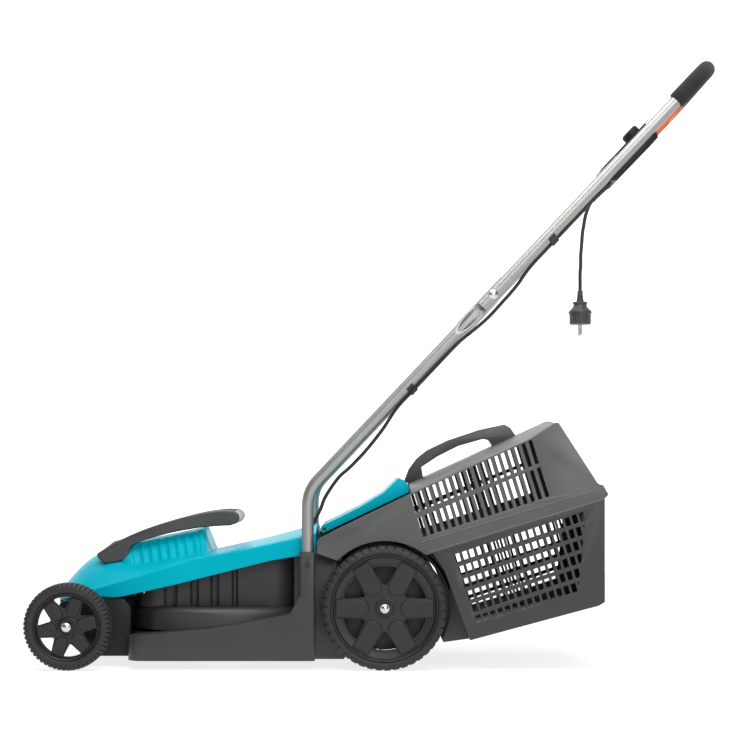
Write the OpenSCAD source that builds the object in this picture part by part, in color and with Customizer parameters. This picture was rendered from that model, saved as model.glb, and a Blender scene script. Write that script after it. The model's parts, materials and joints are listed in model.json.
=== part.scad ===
// Corded rotary lawn mower with a rear grass box.
// Frame: +Z up, +X towards the operator, +Y to the mower's right-hand side (seen from the operator).
// Every module measures X from the rear axle. from_rear_axle() then moves it so that the origin is
// on the ground, at the middle of the machine's length and width.

/* [Wheels] */
// Diameter of a front wheel over its tread
front_wheel_d = 144; // [136:1:150]
// Diameter of a rear wheel over its tread
rear_wheel_d = 205; // [196:1:208]
// Distance between the two axles
wheelbase = 521; // [515:1:530]
// Width over the outer faces of the wheels
track_outer = 392; // [390:1:400]
// Width of a front wheel
front_wheel_w = 40; // [34:1:42]
// Width of a rear wheel
rear_wheel_w = 44; // [38:1:45]
// Diameter of the steel axles
axle_d = 10; // [8:0.5:11]

/* [Deck] */
// Width over the deck's side skirts
deck_w = 356; // [352:1:358]
// Height of the skirt's lower edge above the ground
skirt_z = 15; // [12:1:20]
// Wall thickness of the deck
deck_wall = 4; // [3:0.5:5]
// Cutting width, the diameter of the blade's circle
cut_d = 320; // [300:5:322]
// Radius of the round dome above the blade
dome_r = 152; // [148:1:153]
// Height of the dome's top
dome_z = 100; // [96:1:104]

/* [Handle] */
// Outer diameter of the handle tubes
tube_d = 20; // [18:0.5:20]
// Wall of the handle tubes
tube_wall = 1.5; // [1:0.25:2]
// Distance between the axes of the left and right tubes
tube_spacing = 330; // [328:1:332]
// Angle of the handle above the horizontal
handle_angle = 46.6; // [44:0.1:49]
// Length of the straight lower tube, from the bend's corner to the fold bolt
lower_tube_len = 445; // [430:5:460]
// Length from the fold bolt to the crossbar's axis
upper_tube_len = 524; // [500:2:530]
// Radius of the bends in the tubes
bend_r = 60; // [50:5:70]
// Outer diameter of the foam grip
grip_d = 28.5; // [26:0.5:30]

/* [Grass box] */
// Width over the grass box's sides
box_w = 356; // [350:1:356]
// Wall thickness of the grass box
box_wall = 3; // [2:0.5:4]
// Radius of the wheel arch in the grass box
arch_r = 110; // [108:1:112]

/* [Blade drive] */
// Distance of the blade's axis in front of the rear axle
blade_back = 270; // [268:1:272]
// Distance from the blade's axis forward to the motor's axis
belt_centres = 88; // [84:1:92]
// Radius of the belt on the motor pulley
small_pulley_r = 9; // [8:0.5:10]
// Radius of the belt on the blade spindle's pulley
large_pulley_r = 45; // [42:0.5:46]

/* [Hidden] */
$fn = 96;

front_r = front_wheel_d / 2;
rear_r = rear_wheel_d / 2;
tube_r = tube_d / 2;
tube_y = tube_spacing / 2;
grip_r = grip_d / 2;
axle_r = axle_d / 2;
front_axle_x = -wheelbase;
blade_x = -blade_back;
motor_x = blade_x - belt_centres;
half_deck = deck_w / 2;
half_box = box_w / 2;
// Where the axis of the upright tube stands, and the corner where it turns towards the operator
post_x = -127;
corner_z = 295;
along = [cos(handle_angle), sin(handle_angle)];
bend_angle = 90 - handle_angle;
bend_tangent = bend_r * tan(bend_angle / 2);
pivot_x = post_x + lower_tube_len * along[0];
pivot_z = corner_z + lower_tube_len * along[1];
// The machine's two ends, measured from the rear axle, give the shift that centres it
front_end_x = front_axle_x - front_r;
back_end_x = pivot_x + upper_tube_len * along[0] + grip_r;
shift_x = -(front_end_x + back_end_x) / 2;

// Running clearance of a shaft in its bore, and the gap between bodies that slide past each other
run_gap = 0.08;
body_gap = 0.4;

deck_grey = [0.23, 0.23, 0.24];
dark_grey = [0.16, 0.16, 0.17];
lid_grey = [0.33, 0.33, 0.34];
turquoise = [0.0, 0.66, 0.75];
orange = [0.95, 0.36, 0.08];
steel = [0.75, 0.75, 0.76];
rubber = [0.09, 0.09, 0.1];

// ---------- helpers ----------
module from_rear_axle() {
    translate([shift_x, 0, 0]) children();
}

// Extrudes an X-Z outline from y0 to y1
module side_extrude(y0, y1) {
    rotate([90, 0, 0]) translate([0, 0, -y1]) linear_extrude(y1 - y0) children();
}

// The same outline on both sides of the machine
module both_sides(y0, y1) {
    side_extrude(y0, y1) children();
    side_extrude(-y1, -y0) children();
}

// A cylinder along Y, from y0 to y1, at X-Z place [x, z]
module cross_rod(r, y0, y1, x, z) {
    translate([x, y0, z]) rotate([-90, 0, 0]) cylinder(r = r, h = y1 - y0);
}

// A cross rod on both sides
module cross_rods(r, y0, y1, x, z) {
    cross_rod(r, y0, y1, x, z);
    cross_rod(r, -y1, -y0, x, z);
}

// The handle's own frame: the fold bolt is at the origin, +Z runs up the tube and +X is its underside
module on_handle() {
    translate([pivot_x, 0, pivot_z]) rotate([0, bend_angle, 0]) children();
}

// Points of an arc about c, from angle a0 to a1
function arc(c, r, a0, a1, n) = [for (i = [0:n]) let (a = a0 + (a1 - a0) * i / n) c + r * [cos(a), sin(a)]];

// A round-cornered rectangle
module round_rect(x0, y0, x1, y1, r) {
    polygon(concat(
        arc([x1 - r, y1 - r], r, 0, 90, 6), arc([x0 + r, y1 - r], r, 90, 180, 6),
        arc([x0 + r, y0 + r], r, 180, 270, 6), arc([x1 - r, y0 + r], r, 270, 360, 6)));
}

// ---------- tube swept along a route ----------
function unit(v) = v / norm(v);
function route_dir(p, i) = unit(p[min(i + 1, len(p) - 1)] - p[max(i - 1, 0)]);
// A side direction that never turns over on these routes, which all lie nearly in an X-Z plane
function route_side(d) = unit(cross(d, [0, 1, 0]));
function ring_points(c, d, r, sides) = let (u = route_side(d), v = cross(d, u))
    [for (k = [0:sides - 1]) let (a = 360 * k / sides) c + r * (cos(a) * u + sin(a) * v)];
// Catmull-Rom spline through the route's points
function spline_at(p, i, t) = let (
        n = len(p) - 1,
        a = p[max(i - 1, 0)], b = p[i], c = p[min(i + 1, n)], d = p[min(i + 2, n)])
    0.5 * (2 * b + (c - a) * t + (2 * a - 5 * b + 4 * c - d) * t * t + (3 * b - a - 3 * c + d) * t * t * t);
function smooth_route(p, steps) = concat(
    [for (i = [0:len(p) - 2]) for (k = [0:steps - 1]) spline_at(p, i, k / steps)], [p[len(p) - 1]]);

module swept_tube(route, r, sides) {
    n = len(route);
    points = [for (i = [0:n - 1]) each ring_points(route[i], route_dir(route, i), r, sides)];
    walls = [for (i = [0:n - 2]) for (k = [0:sides - 1])
        [(i + 1) * sides + k, (i + 1) * sides + (k + 1) % sides, i * sides + (k + 1) % sides, i * sides + k]];
    caps = [[for (k = [0:sides - 1]) k], [for (k = [sides - 1:-1:0]) (n - 1) * sides + k]];
    polyhedron(points, concat(walls, caps), convexity = 6);
}

// ---------- wheels ----------
// A rim with six windows between its spokes. side is -1 on the left and 1 on the right
module rim(r_out, w, window_in, window_out, pad_w, first_angle, x, z, side) {
    face_y = side * track_outer / 2;
    inner_y = side * (track_outer / 2 - w);
    lip_w = 7;
    plate_w = 6;
    hub_r = 16;
    translate([x, 0, z]) difference() {
        union() {
            difference() {
                wheel_ring(r_out, face_y, inner_y);
                wheel_ring(r_out - lip_w, face_y + side, inner_y - side);
            }
            wheel_ring(r_out - lip_w + 1, face_y - side * 4, face_y - side * (4 + plate_w));
            wheel_ring(hub_r, face_y - side * 2, inner_y);
        }
        for (k = [0:5]) rotate([0, -first_angle - 30 - 60 * k, 0])
            side_extrude(-track_outer, track_outer) window(window_in, window_out, pad_w);
        wheel_ring(axle_r + run_gap, -track_outer, track_outer);
    }
}

module wheel_ring(r, y0, y1) {
    cross_rod(r, min(y0, y1), max(y0, y1), 0, 0);
}

// One window: the wedge left between two parallel-sided spokes
module window(r_in, r_out, pad_w) {
    half = pad_w / 2;
    reach = sqrt(r_out * r_out - half * half);
    edge = atan2(half, reach);
    polygon(concat([[r_in, 0]], arc([0, 0], r_out, -30 + edge, 30 - edge, 12)));
}

// A tyre ring with a flat tread, rounded shoulders and a groove round the middle
module tyre(r_in, r_out, w, x, z, side) {
    mid_y = side * (track_outer / 2 - w / 2);
    shoulder = 4;
    h = w / 2;
    translate([x, mid_y, z]) rotate([90, 0, 0]) rotate_extrude() polygon(concat(
        [[r_in, -h], [r_in, h]],
        arc([r_out - shoulder, h - shoulder], shoulder, 90, 0, 6),
        [[r_out, 2], [r_out - 3, 1], [r_out - 3, -1], [r_out, -2]],
        arc([r_out - shoulder, -h + shoulder], shoulder, 0, -90, 6)));
}

front_rim_r = 56;
rear_rim_r = 89;

module front_rim(side) {
    color(dark_grey) from_rear_axle()
        rim(front_rim_r, front_wheel_w, 28, 50, 20, 10, front_axle_x, front_r, side);
}
module rear_rim(side) {
    color(dark_grey) from_rear_axle() rim(rear_rim_r, rear_wheel_w, 36, 70, 31, 0, 0, rear_r, side);
}
module front_tyre(side) {
    color(rubber) from_rear_axle() tyre(front_rim_r, front_r, front_wheel_w, front_axle_x, front_r, side);
}
module rear_tyre(side) {
    color(rubber) from_rear_axle() tyre(rear_rim_r, rear_r, rear_wheel_w, 0, rear_r, side);
}
module front_left_rim() { front_rim(-1); }
module front_right_rim() { front_rim(1); }
module rear_left_rim() { rear_rim(-1); }
module rear_right_rim() { rear_rim(1); }
module front_left_tyre() { front_tyre(-1); }
module front_right_tyre() { front_tyre(1); }
module rear_left_tyre() { rear_tyre(-1); }
module rear_right_tyre() { rear_tyre(1); }

// ---------- axles ----------
nut_y = track_outer / 2 - 1.6;
nut_pocket = 1;
axle_end_y = nut_y + nut_pocket;

module front_axle() {
    color(steel) from_rear_axle() cross_rod(axle_r, -axle_end_y, axle_end_y, front_axle_x, front_r);
}
module rear_axle() {
    color(steel) from_rear_axle() cross_rod(axle_r, -axle_end_y, axle_end_y, 0, rear_r);
}

// Domed nuts on the four axle ends
module axle_nuts() {
    color(steel) from_rear_axle() for (side = [-1, 1]) {
        domed_nut(front_axle_x, front_r, side);
        domed_nut(0, rear_r, side);
    }
}
module domed_nut(x, z, side) {
    translate([x, side * nut_y, z]) rotate([-90 * side, 0, 0]) difference() {
        union() {
            cylinder(r = 7.5, h = 2);
            intersection() {
                translate([0, 0, -4]) sphere(9);
                cylinder(r = 6.5, h = 6);
            }
        }
        translate([0, 0, -1]) cylinder(r = axle_r, h = 1 + nut_pocket);
    }
}

// Brackets inside the deck: three round-bottomed notches hold an axle at one of three heights
module axle_bracket(x, z, y0, y1, half_len, top, bottom) {
    notch_pitch = 15;
    difference() {
        both_sides(y0, y1) polygon([[x - half_len, z + bottom], [x + half_len, z + bottom],
            [x + half_len, z + top], [x - half_len, z + top]]);
        cross_rod(axle_r, -track_outer, track_outer, x, z);
        for (k = [-1, 1]) cross_rod(axle_r, -track_outer, track_outer, x + k * notch_pitch, z + 4 + k * 6);
    }
}
module front_axle_bracket() {
    color(dark_grey) from_rear_axle() axle_bracket(front_axle_x, front_r, 112, 118, 21.5, 22, -12);
}
module rear_axle_bracket() {
    color(dark_grey) from_rear_axle() axle_bracket(0, rear_r, 132, 138, 26, 22, -12);
}

// ---------- deck ----------
// Side skirts, shelf and round dome over the blade, open below, with the two posts for the tubes
deck_front_x = -425;
deck_back_x = -115;
nose_half = 124;
tunnel_half = 145;
// The two ends of the tunnel roof's front slope
tunnel_front = [-150, 190];
tunnel_peak = [-112, 205];
post_top_z = 194;
chamber_r = 172;
ring_top_z = 56;
dome_edge_r = 12;
dome_x = blade_x;
tube_screw_z = 172;
hinge_x = -100;
hinge_z = 231;
hinge_r = 3;
lug_in = 100;
lug_out = 108;

skirt_corner_r = 28;
skirt_back_r = 6;

module skirt_outline(inset) {
    front = [deck_front_x + skirt_corner_r, half_deck - skirt_corner_r];
    back = [deck_back_x - skirt_back_r, half_deck - skirt_back_r];
    round_r = skirt_corner_r - inset;
    tight_r = skirt_back_r - inset;
    polygon(concat(
        arc(front, round_r, 180, 90, 8), arc(back, tight_r, 90, 0, 4),
        arc([back[0], -back[1]], tight_r, 0, -90, 4), arc([front[0], -front[1]], round_r, -90, -180, 8)));
}

// The skirt's top: a shelf that rises towards the back and then climbs to the posts
function shelf_points(drop) = [[deck_front_x, 54 - drop], [-412, 56 - drop], [-289, 68 - drop],
    [-225, 78 - drop], [-156, 92 - drop], [-141, 120 - drop], [deck_back_x + 1, 142 - drop]];

module skirt_body(inset, drop, z0) {
    intersection() {
        translate([0, 0, z0]) linear_extrude(200) skirt_outline(inset);
        side_extrude(-half_deck, half_deck) polygon(concat(
            shelf_points(drop), [[deck_back_x + 1, z0], [deck_front_x, z0]]));
    }
}

// Rear tunnel, between the rear wheels: side walls, a roof and the chute that throws grass backwards
module tunnel_profile() {
    polygon([[-150, skirt_z], [-68, skirt_z], [-62, 22], [-62, 120], [-80, 128], [-80, 192], tunnel_peak,
        tunnel_front]);
}

module deck_post(side) {
    y0 = side * tube_y;
    translate([post_x, y0, skirt_z]) linear_extrude(post_top_z - skirt_z)
        round_rect(-13.5, -13, 12, 13, 4);
}

hub_z = 70;
module deck_housing() {
    color(deck_grey) from_rear_axle() difference() {
        union() {
            difference() {
                deck_body();
                // blade chamber
                translate([dome_x, 0, 0]) cylinder(r = dome_r - dome_edge_r, h = dome_z - deck_wall);
                translate([dome_x, 0, 0]) cylinder(r = dome_r - deck_wall, h = dome_z - dome_edge_r);
                translate([dome_x, 0, 0]) cylinder(r = chamber_r, h = ring_top_z - deck_wall);
                // chute from the chamber to the grass box
                side_extrude(-112, 112) polygon([[-200, 0], [-100, 0], [-100, 60], [-50, 110], [-50, 186],
                    [-112, 186], [-200, 70]]);
            }
            // hub that hangs under the dome and holds the bearings
            translate([blade_x, 0, hub_z]) cylinder(r = bearing_r + 5, h = dome_z - hub_z);
        }
        // sockets for the tubes and the holes for their screws
        for (side = [-1, 1]) translate([post_x, side * tube_y, 60]) cylinder(r = tube_r, h = 200);
        cross_rods(2, tube_y, half_deck + 5, post_x, tube_screw_z);
        translate([blade_x, 0, 60]) cylinder(r = bearing_r, h = 80);
    }
}
module deck_body() {
    difference() {
        skirt_body(0, 0, skirt_z);
        skirt_body(deck_wall, deck_wall, skirt_z - 1);
    }
    translate([dome_x, 0, 0]) rotate_extrude() polygon(concat([[0, 50], [dome_r, 50]],
        arc([dome_r - dome_edge_r, dome_z - dome_edge_r], dome_edge_r, 0, 90, 8), [[0, dome_z]]));
    translate([dome_x, 0, skirt_z]) cylinder(r = chamber_r + deck_wall, h = ring_top_z - skirt_z);
    side_extrude(-tunnel_half, tunnel_half) tunnel_profile();
    for (side = [-1, 1]) deck_post(side);
    rear_arms();
    hinge_lugs();
}

// Lugs that carry the rear flap's hinge pin
module hinge_lugs() {
    both_sides(lug_in, lug_out) difference() {
        union() {
            translate([hinge_x, hinge_z]) circle(7);
            polygon([[hinge_x - 7, hinge_z], [hinge_x + 7, hinge_z], [hinge_x + 12, 190], [hinge_x - 14, 190]]);
        }
        translate([hinge_x, hinge_z]) circle(hinge_r);
    }
}

// Two arms run back beside the chute to the rear axle
module rear_arms() {
    both_sides(tunnel_half - 6, tunnel_half) difference() {
        union() {
            polygon([[-80, 24], [0, rear_r - 30], [28, rear_r - 14], [28, rear_r + 26], [-28, rear_r + 26],
                [-80, 118]]);
        }
        translate([0, rear_r]) circle(axle_r + 12);
    }
}

// Front of the deck, between the front wheels, up to the cover's lower edge
module front_nose() {
    color(deck_grey) from_rear_axle() difference() {
        side_extrude(-nose_half, nose_half) polygon(nose_outline());
        side_extrude(-nose_half + deck_wall, nose_half - deck_wall) polygon(nose_cavity());
        translate([dome_x, 0, 0]) cylinder(r = chamber_r + deck_wall, h = ring_top_z);
        cross_rod(axle_r + 3, -nose_half - 1, nose_half + 1, front_axle_x, front_r);
    }
}
function nose_outline() = [[-545, 52], [-482, skirt_z + 3], [-426, skirt_z + 3], [-424.4, 100], [-436, 114],
    [-462, 115.8], [-500, 116], [-540, 109], [-552, 92]];
function nose_cavity() = [[-541, 48], [-482, skirt_z], [-430, skirt_z], [-428.4, 96], [-438, 110],
    [-462, 111.8], [-500, 112], [-537, 105], [-548, 90]];

// ---------- tower and cover ----------
tower_half = 112;
tower_wall = 3;
tower_foot_z = 57;
screw_x = [-405, -170];
screw_y = 100;
screw_r = 2;
// Height of the lower end of a cover screw
function screw_base(x) = crest_z(x) - 66;

// Walls round the motor space, from the dome up to the cover
module motor_tower() {
    color(dark_grey) from_rear_axle() difference() {
        union() {
            tower_walls();
            for (x = screw_x) for (side = [-1, 1]) translate([x, side * screw_y, dome_z])
                cylinder(r = tower_half - screw_y - tower_wall + 1, h = screw_base(x) - dome_z + 24);
        }
        for (x = screw_x) for (side = [-1, 1]) translate([x, side * screw_y, screw_base(x)])
            cylinder(r = screw_r, h = 100);
        tower_flutes();
    }
}
module tower_walls() {
    difference() {
        side_extrude(-tower_half, tower_half) polygon([[-424, tower_foot_z], [-150, tower_foot_z], [-150, 196],
            [-236, 176], [-345, 148], [-424, 128]]);
        translate([0, 0, tower_foot_z - 1]) linear_extrude(160) round_rect(-424 + tower_wall,
            -tower_half + tower_wall, -150 - tower_wall, tower_half - tower_wall, 10);
        // the walls stand on the dome and on the shelf beside it
        translate([dome_x, 0, 0]) cylinder(r = dome_r + body_gap, h = dome_z);
        skirt_body(-body_gap, -body_gap, skirt_z);
    }
}
// Upright flutes in the tower's sides
module tower_flutes() {
    for (side = [-1, 1]) for (k = [0:4]) translate([-392 + 32 * k, side * (tower_half + 3), tower_foot_z - 1])
        cylinder(r = 5, h = 160);
}

// The cover's outline heights along X: crest on the middle line, crease, lower edge, and half width
cover_front_x = -552;
cover_back_x = -114;
cover_stations = [-552, -540, -520, -500, -480, -450, -420, -380, -340, -300, -260, -220, -180, -145, -114];
function crest_z(x) = lookup(x, [[-552, 128], [-540, 146], [-520, 167], [-500, 182], [-470, 189], [-430, 187],
    [-380, 188], [-300, 197], [-236, 206], [-194, 214], [-153, 225], [-114, 236]]);
function crease_z(x) = lookup(x, [[-552, 118], [-500, 126], [-484, 130], [-413, 151], [-310, 183], [-234, 196],
    [-138, 217], [-114, 222]]);
function edge_z(x) = lookup(x, [[-552, 108], [-500, 118], [-446, 116], [-346, 139], [-240, 166], [-188, 179],
    [-138, 187], [-114, 190]]);
function cover_half(x) = lookup(x, [[-552, 70], [-540, 92], [-520, 108], [-490, 120], [-446, 132], [-346, 146],
    [-240, 150], [-114, 151]]);
crown_steps = 12;
function cover_ring(x, inset) = let (
        w = cover_half(x) - inset, top = crest_z(x) - inset, crease = crease_z(x) - inset,
        bottom = edge_z(x) - (inset > 0 ? 1 : 0))
    concat(
        [[x, w, bottom]],
        [for (k = [0:crown_steps]) let (y = w * cos(180 * k / crown_steps))
            [x, y, crease + (top - crease) * pow(sin(180 * k / crown_steps), 2)]],
        [[x, -w, bottom]]);

// A closed solid through rings of equal size, set one behind the other along X. Each ring runs from one
// side over the top to the other side with an odd number of points, so its ends close in level strips
module loft(rings) {
    n = len(rings);
    m = len(rings[0]);
    half = (m - 1) / 2;
    walls = [for (i = [0:n - 2]) for (k = [0:m - 1]) each let (
            a = i * m + k, b = i * m + (k + 1) % m, c = (i + 1) * m + (k + 1) % m, d = (i + 1) * m + k)
        [[c, b, a], [d, c, a]]];
    front = concat([for (k = [0:half - 1]) [k, k + 1, m - 1 - k]],
        [for (k = [0:half - 2]) [k + 1, m - 2 - k, m - 1 - k]]);
    back = [for (f = front) [for (v = [2, 1, 0]) (n - 1) * m + f[v]]];
    polyhedron([for (r = rings) each r], concat(walls, front, back), convexity = 6);
}

cover_wall = 3;
hump_half = 57;
hump_front_x = -436;
hump_back_x = -288;

module hump_profile(inset) {
    polygon([[hump_front_x + inset, 170], [hump_front_x + inset, 196], [-424 + inset, 206 - inset],
        [-384, 214 - inset], [-340, 223 - inset], [-304 - inset, 230 - inset],
        [hump_back_x - inset, 196 - inset], [hump_back_x - inset, 170]]);
}

module motor_cover() {
    color(turquoise) from_rear_axle() difference() {
        union() {
            loft([for (x = cover_stations) cover_ring(x, 0)]);
            side_extrude(-hump_half, hump_half) hump_profile(0);
        }
        loft([for (x = cover_stations) cover_ring(
            x == cover_front_x ? x + cover_wall : (x == cover_back_x ? x - cover_wall : x), cover_wall)]);
        side_extrude(-hump_half + cover_wall, hump_half - cover_wall) hump_profile(cover_wall);
        vent_slots();
        // seat of the carry handle's root
        translate([-490, -carry_out - body_gap, 170]) cube([56.5, 2 * carry_out + 2 * body_gap, 100]);
        // the back wall stands on the deck's tunnel roof
        side_extrude(-tunnel_half - body_gap, tunnel_half + body_gap) polygon([tunnel_front + [-2, -30],
            tunnel_front + [-2, body_gap], tunnel_peak + [0, body_gap], [-100, 200], [-100, 160]]);
        // hole for the motor's cable
        translate(cable_end_points[4]) rotate([12, 12, 0]) cylinder(r = cable_r + 0.8, h = 30);
    }
}
// Slanted air slots in both sides of the hump
vent_count = 8;
module vent_slots() {
    both_sides(hump_half - 5, hump_half + 1) for (k = [0:vent_count - 1])
        translate([-420 + 15.5 * k, 176 + 3.6 * k]) polygon([[0, 0], [3, 0], [-5, 30], [-8, 30]]);
}

// ---------- carry handle ----------
carry_in = 59;
carry_out = 76;
function carry_top(x) = 264 - 0.00139 * pow(x + 252, 2);
function carry_under(x) = 239 - 0.00103 * pow(x + 247, 2);
carry_back_x = -236;

module carry_arm_profile() {
    polygon(concat(
        [for (i = [0:10]) let (x = -486 + (carry_back_x - 10 + 486) * i / 10) [x, carry_top(x)]],
        [[carry_back_x - 2, 258], [carry_back_x, 247], [carry_back_x - 6, 240]],
        [for (i = [0:8]) let (x = -247 - (432 - 247) * i / 8) [x, carry_under(x)]],
        [[-437, 186], [-434, 177], [-450, 170.5], [-475, 170.5], [-489, 182]]));
}
module carry_handle() {
    color(deck_grey) from_rear_axle() {
        both_sides(carry_in, carry_out) carry_arm_profile();
        side_extrude(-carry_in, carry_in) polygon([[-262, 247], [-256, 259], [-246, 263],
            [carry_back_x - 2, 258], [carry_back_x, 247], [-244, 238], [-256, 238]]);
        side_extrude(-carry_in, carry_in) polygon([[-486, 188], [-466, 204], [-442, 214], [-440, 190],
            [-442, 172], [-475, 170.5], [-489, 182]]);
    }
}

// Four screws hold the cover down on the tower
module cover_screws() {
    color(steel) from_rear_axle() for (x = screw_x) for (side = [-1, 1])
        translate([x, side * screw_y, screw_base(x)]) {
            cylinder(r = screw_r, h = 38);
            translate([0, 0, 36]) cylinder(r = 4, h = 3);
        }
}

// ---------- motor and blade drive ----------
bearing_r = 17;
spindle_r = 7.5;
belt_z = 112;
belt_w = 10;
motor_r = 42;
shaft_r = 4;

module motor_can() {
    color(steel) from_rear_axle() translate([motor_x, 0, 126]) difference() {
        cylinder(r = motor_r, h = 62);
        translate([0, 0, 3]) cylinder(r = motor_r - 6, h = 54);
        translate([0, 0, -1]) cylinder(r = shaft_r + run_gap, h = 70);
        for (k = [0:5]) rotate(60 * k) translate([30, 0, 55]) cylinder(r = 5, h = 10);
    }
}
module motor_rotor() {
    color([0.72, 0.45, 0.2]) from_rear_axle() translate([motor_x, 0, 0]) {
        translate([0, 0, belt_z - 8]) cylinder(r = shaft_r, h = 94);
        translate([0, 0, 134]) difference() {
            cylinder(r = motor_r - 7, h = 40);
            for (k = [0:11]) rotate(30 * k) translate([motor_r - 8, -1.2, -1]) cube([4, 2.4, 42]);
        }
    }
}
module motor_pulley() {
    color(steel) from_rear_axle() translate([motor_x, 0, belt_z - belt_w / 2 - 2]) difference() {
        union() {
            cylinder(r = small_pulley_r, h = belt_w + 4);
            cylinder(r = small_pulley_r + 3, h = 1.5);
            translate([0, 0, belt_w + 2.5]) cylinder(r = small_pulley_r + 3, h = 1.5);
        }
        translate([0, 0, -1]) cylinder(r = shaft_r, h = 40);
    }
}
module cooling_fan() {
    color(dark_grey) from_rear_axle() translate([motor_x, 0, 189]) difference() {
        union() {
            cylinder(r = 30, h = 1.6);
            cylinder(r = 8, h = 9);
            for (k = [0:8]) rotate(40 * k) translate([7, -0.8, 0]) cube([22, 1.6, 9]);
        }
        translate([0, 0, -1]) cylinder(r = shaft_r, h = 20);
    }
}

// The belt's loop: two arcs and the two straight runs between them
module belt_loop(grow) {
    lean = acos((large_pulley_r - small_pulley_r) / belt_centres);
    polygon(concat(
        arc([blade_x, 0], large_pulley_r + grow, -180 + lean, 180 - lean, 48),
        arc([motor_x, 0], small_pulley_r + grow, 180 - lean, 180 + lean, 12)));
}
module drive_belt() {
    color(rubber) from_rear_axle() translate([0, 0, belt_z - belt_w / 2]) difference() {
        linear_extrude(belt_w) belt_loop(2.5);
        translate([0, 0, -1]) linear_extrude(belt_w + 2) belt_loop(body_gap);
    }
}
module capacitor() {
    color([0.85, 0.82, 0.7]) from_rear_axle() translate([-200, -40, 104]) cube([34, 24, 28]);
}

module spindle_bearings() {
    color(steel) from_rear_axle() for (z = [74, 88]) translate([blade_x, 0, z]) difference() {
        cylinder(r = bearing_r, h = 10);
        translate([0, 0, -1]) cylinder(r = spindle_r + run_gap, h = 12);
    }
}
module blade_spindle() {
    color(steel) from_rear_axle() translate([blade_x, 0, 0]) difference() {
        union() {
            translate([0, 0, 46]) cylinder(r = spindle_r, h = 78);
            translate([0, 0, 46]) cylinder(r = 12, h = 8);
        }
        translate([0, 0, 40]) cylinder(r = 4, h = 40);
    }
}
module spindle_pulley() {
    color(dark_grey) from_rear_axle() translate([blade_x, 0, belt_z - belt_w / 2 - 2]) difference() {
        union() {
            cylinder(r = large_pulley_r, h = belt_w + 4);
            cylinder(r = large_pulley_r + 3, h = 1.5);
            translate([0, 0, belt_w + 2.5]) cylinder(r = large_pulley_r + 3, h = 1.5);
        }
        translate([0, 0, -1]) cylinder(r = spindle_r, h = 40);
        for (k = [0:4]) rotate(72 * k) translate([26, 0, -1]) cylinder(r = 9, h = 40);
    }
}
module blade_carrier() {
    color(dark_grey) from_rear_axle() translate([blade_x, 0, 36]) difference() {
        union() {
            cylinder(r = 24, h = 10);
            cylinder(r = 40, h = 4);
        }
        translate([0, 0, -1]) cylinder(r = 4, h = 20);
    }
}
// A flat blade with lifted wings at the back of each end
module blade() {
    blade_w = 44;
    r = cut_d / 2;
    color(steel) from_rear_axle() translate([blade_x, 0, 32]) difference() {
        intersection() {
            union() {
                translate([-blade_w / 2, -r, 0]) cube([blade_w, 2 * r, 3]);
                for (k = [0, 180]) rotate(k) translate([-blade_w / 2, r - 62, 3]) rotate([0, -50, 0])
                    translate([0, 0, -3]) cube([14, 50, 3]);
            }
            translate([0, 0, -10]) cylinder(r = r, h = 40);
        }
        translate([0, 0, -1]) cylinder(r = 4, h = 10);
        for (k = [0, 180]) rotate(k) translate([14, r - 70, -6]) rotate([0, 22, 0]) cube([20, 90, 5]);
    }
}
module blade_bolt() {
    color(steel) from_rear_axle() translate([blade_x, 0, 0]) {
        translate([0, 0, 26]) cylinder(r = 7.5, h = 6, $fn = 6);
        translate([0, 0, 32]) cylinder(r = 4, h = 30);
    }
}

// ---------- handle tubes ----------
// The tube's path as a solid: upright leg, bend and slanted leg up to "top" along the handle.
// The bend is a hair thicker than the legs and runs 1 degree into each of them
bend_swell = 0.05;
module tube_path(r, foot_z, top) {
    translate([post_x, 0, foot_z]) cylinder(r = r, h = corner_z - bend_tangent - foot_z);
    translate([post_x + bend_r, 0, corner_z - bend_tangent]) rotate([90, 0, 0])
        rotate_extrude(angle = bend_angle + 2, start = 179 - bend_angle)
            translate([bend_r, 0]) circle(r + bend_swell);
    on_handle() translate([0, 0, -lower_tube_len + bend_tangent])
        cylinder(r = r, h = lower_tube_len - bend_tangent + top);
}

// Its upper end is cut to a slanted trough that ends in a flat tongue beside the upper tube
tail_len = 27;
trough_len = 89;
tongue_len = 41;
tongue_w = 23;
tongue_t = 3;
tongue_y = tube_r + body_gap;
foot_step = 0.8;
fold_bolt_r = 3;

module lower_tube(side) {
    inner_r = tube_r - tube_wall;
    color(steel) from_rear_axle() translate([0, side * tube_y, 0]) difference() {
        union() {
            difference() {
                tube_path(tube_r, 62, -tail_len - 3);
                tube_path(inner_r, 60, -tail_len);
                // slanted cut: everything on the outer side of a plane that leans across the tube
                on_handle() translate([0, side * tube_r, -trough_len]) rotate([side * trough_lean, 0, 0])
                    translate([-20, side > 0 ? 0 : -40, -30]) cube([40, 40, 150]);
            }
            on_handle() tongue(side);
        }
        on_handle() cross_rod(fold_bolt_r, -tube_spacing, tube_spacing, 0, 0);
        cross_rod(2, -half_deck, half_deck, post_x, tube_screw_z);
    }
}
trough_lean = atan2(2 * tube_r - 4, trough_len - tail_len - 3);

// Round-ended tongue on the machine's inner side of the tube; its foot is thicker and joins the tube's wall
module tongue(side) {
    inward = -side;
    y_face = inward * tongue_y;
    y_back = inward * (tongue_y + tongue_t);
    y_foot = inward * (tube_r - tube_wall - foot_step);
    translate([0, min(y_face, y_back), 0]) rotate([-90, 0, 0]) linear_extrude(tongue_t)
        tongue_outline(-trough_len + 4, tongue_len);
    translate([0, min(y_foot, y_back), 0]) rotate([-90, 0, 0])
        linear_extrude(tongue_t + tongue_y - tube_r + tube_wall + foot_step)
            tongue_outline(-trough_len + 4, -tail_len - 4);
}
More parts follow.
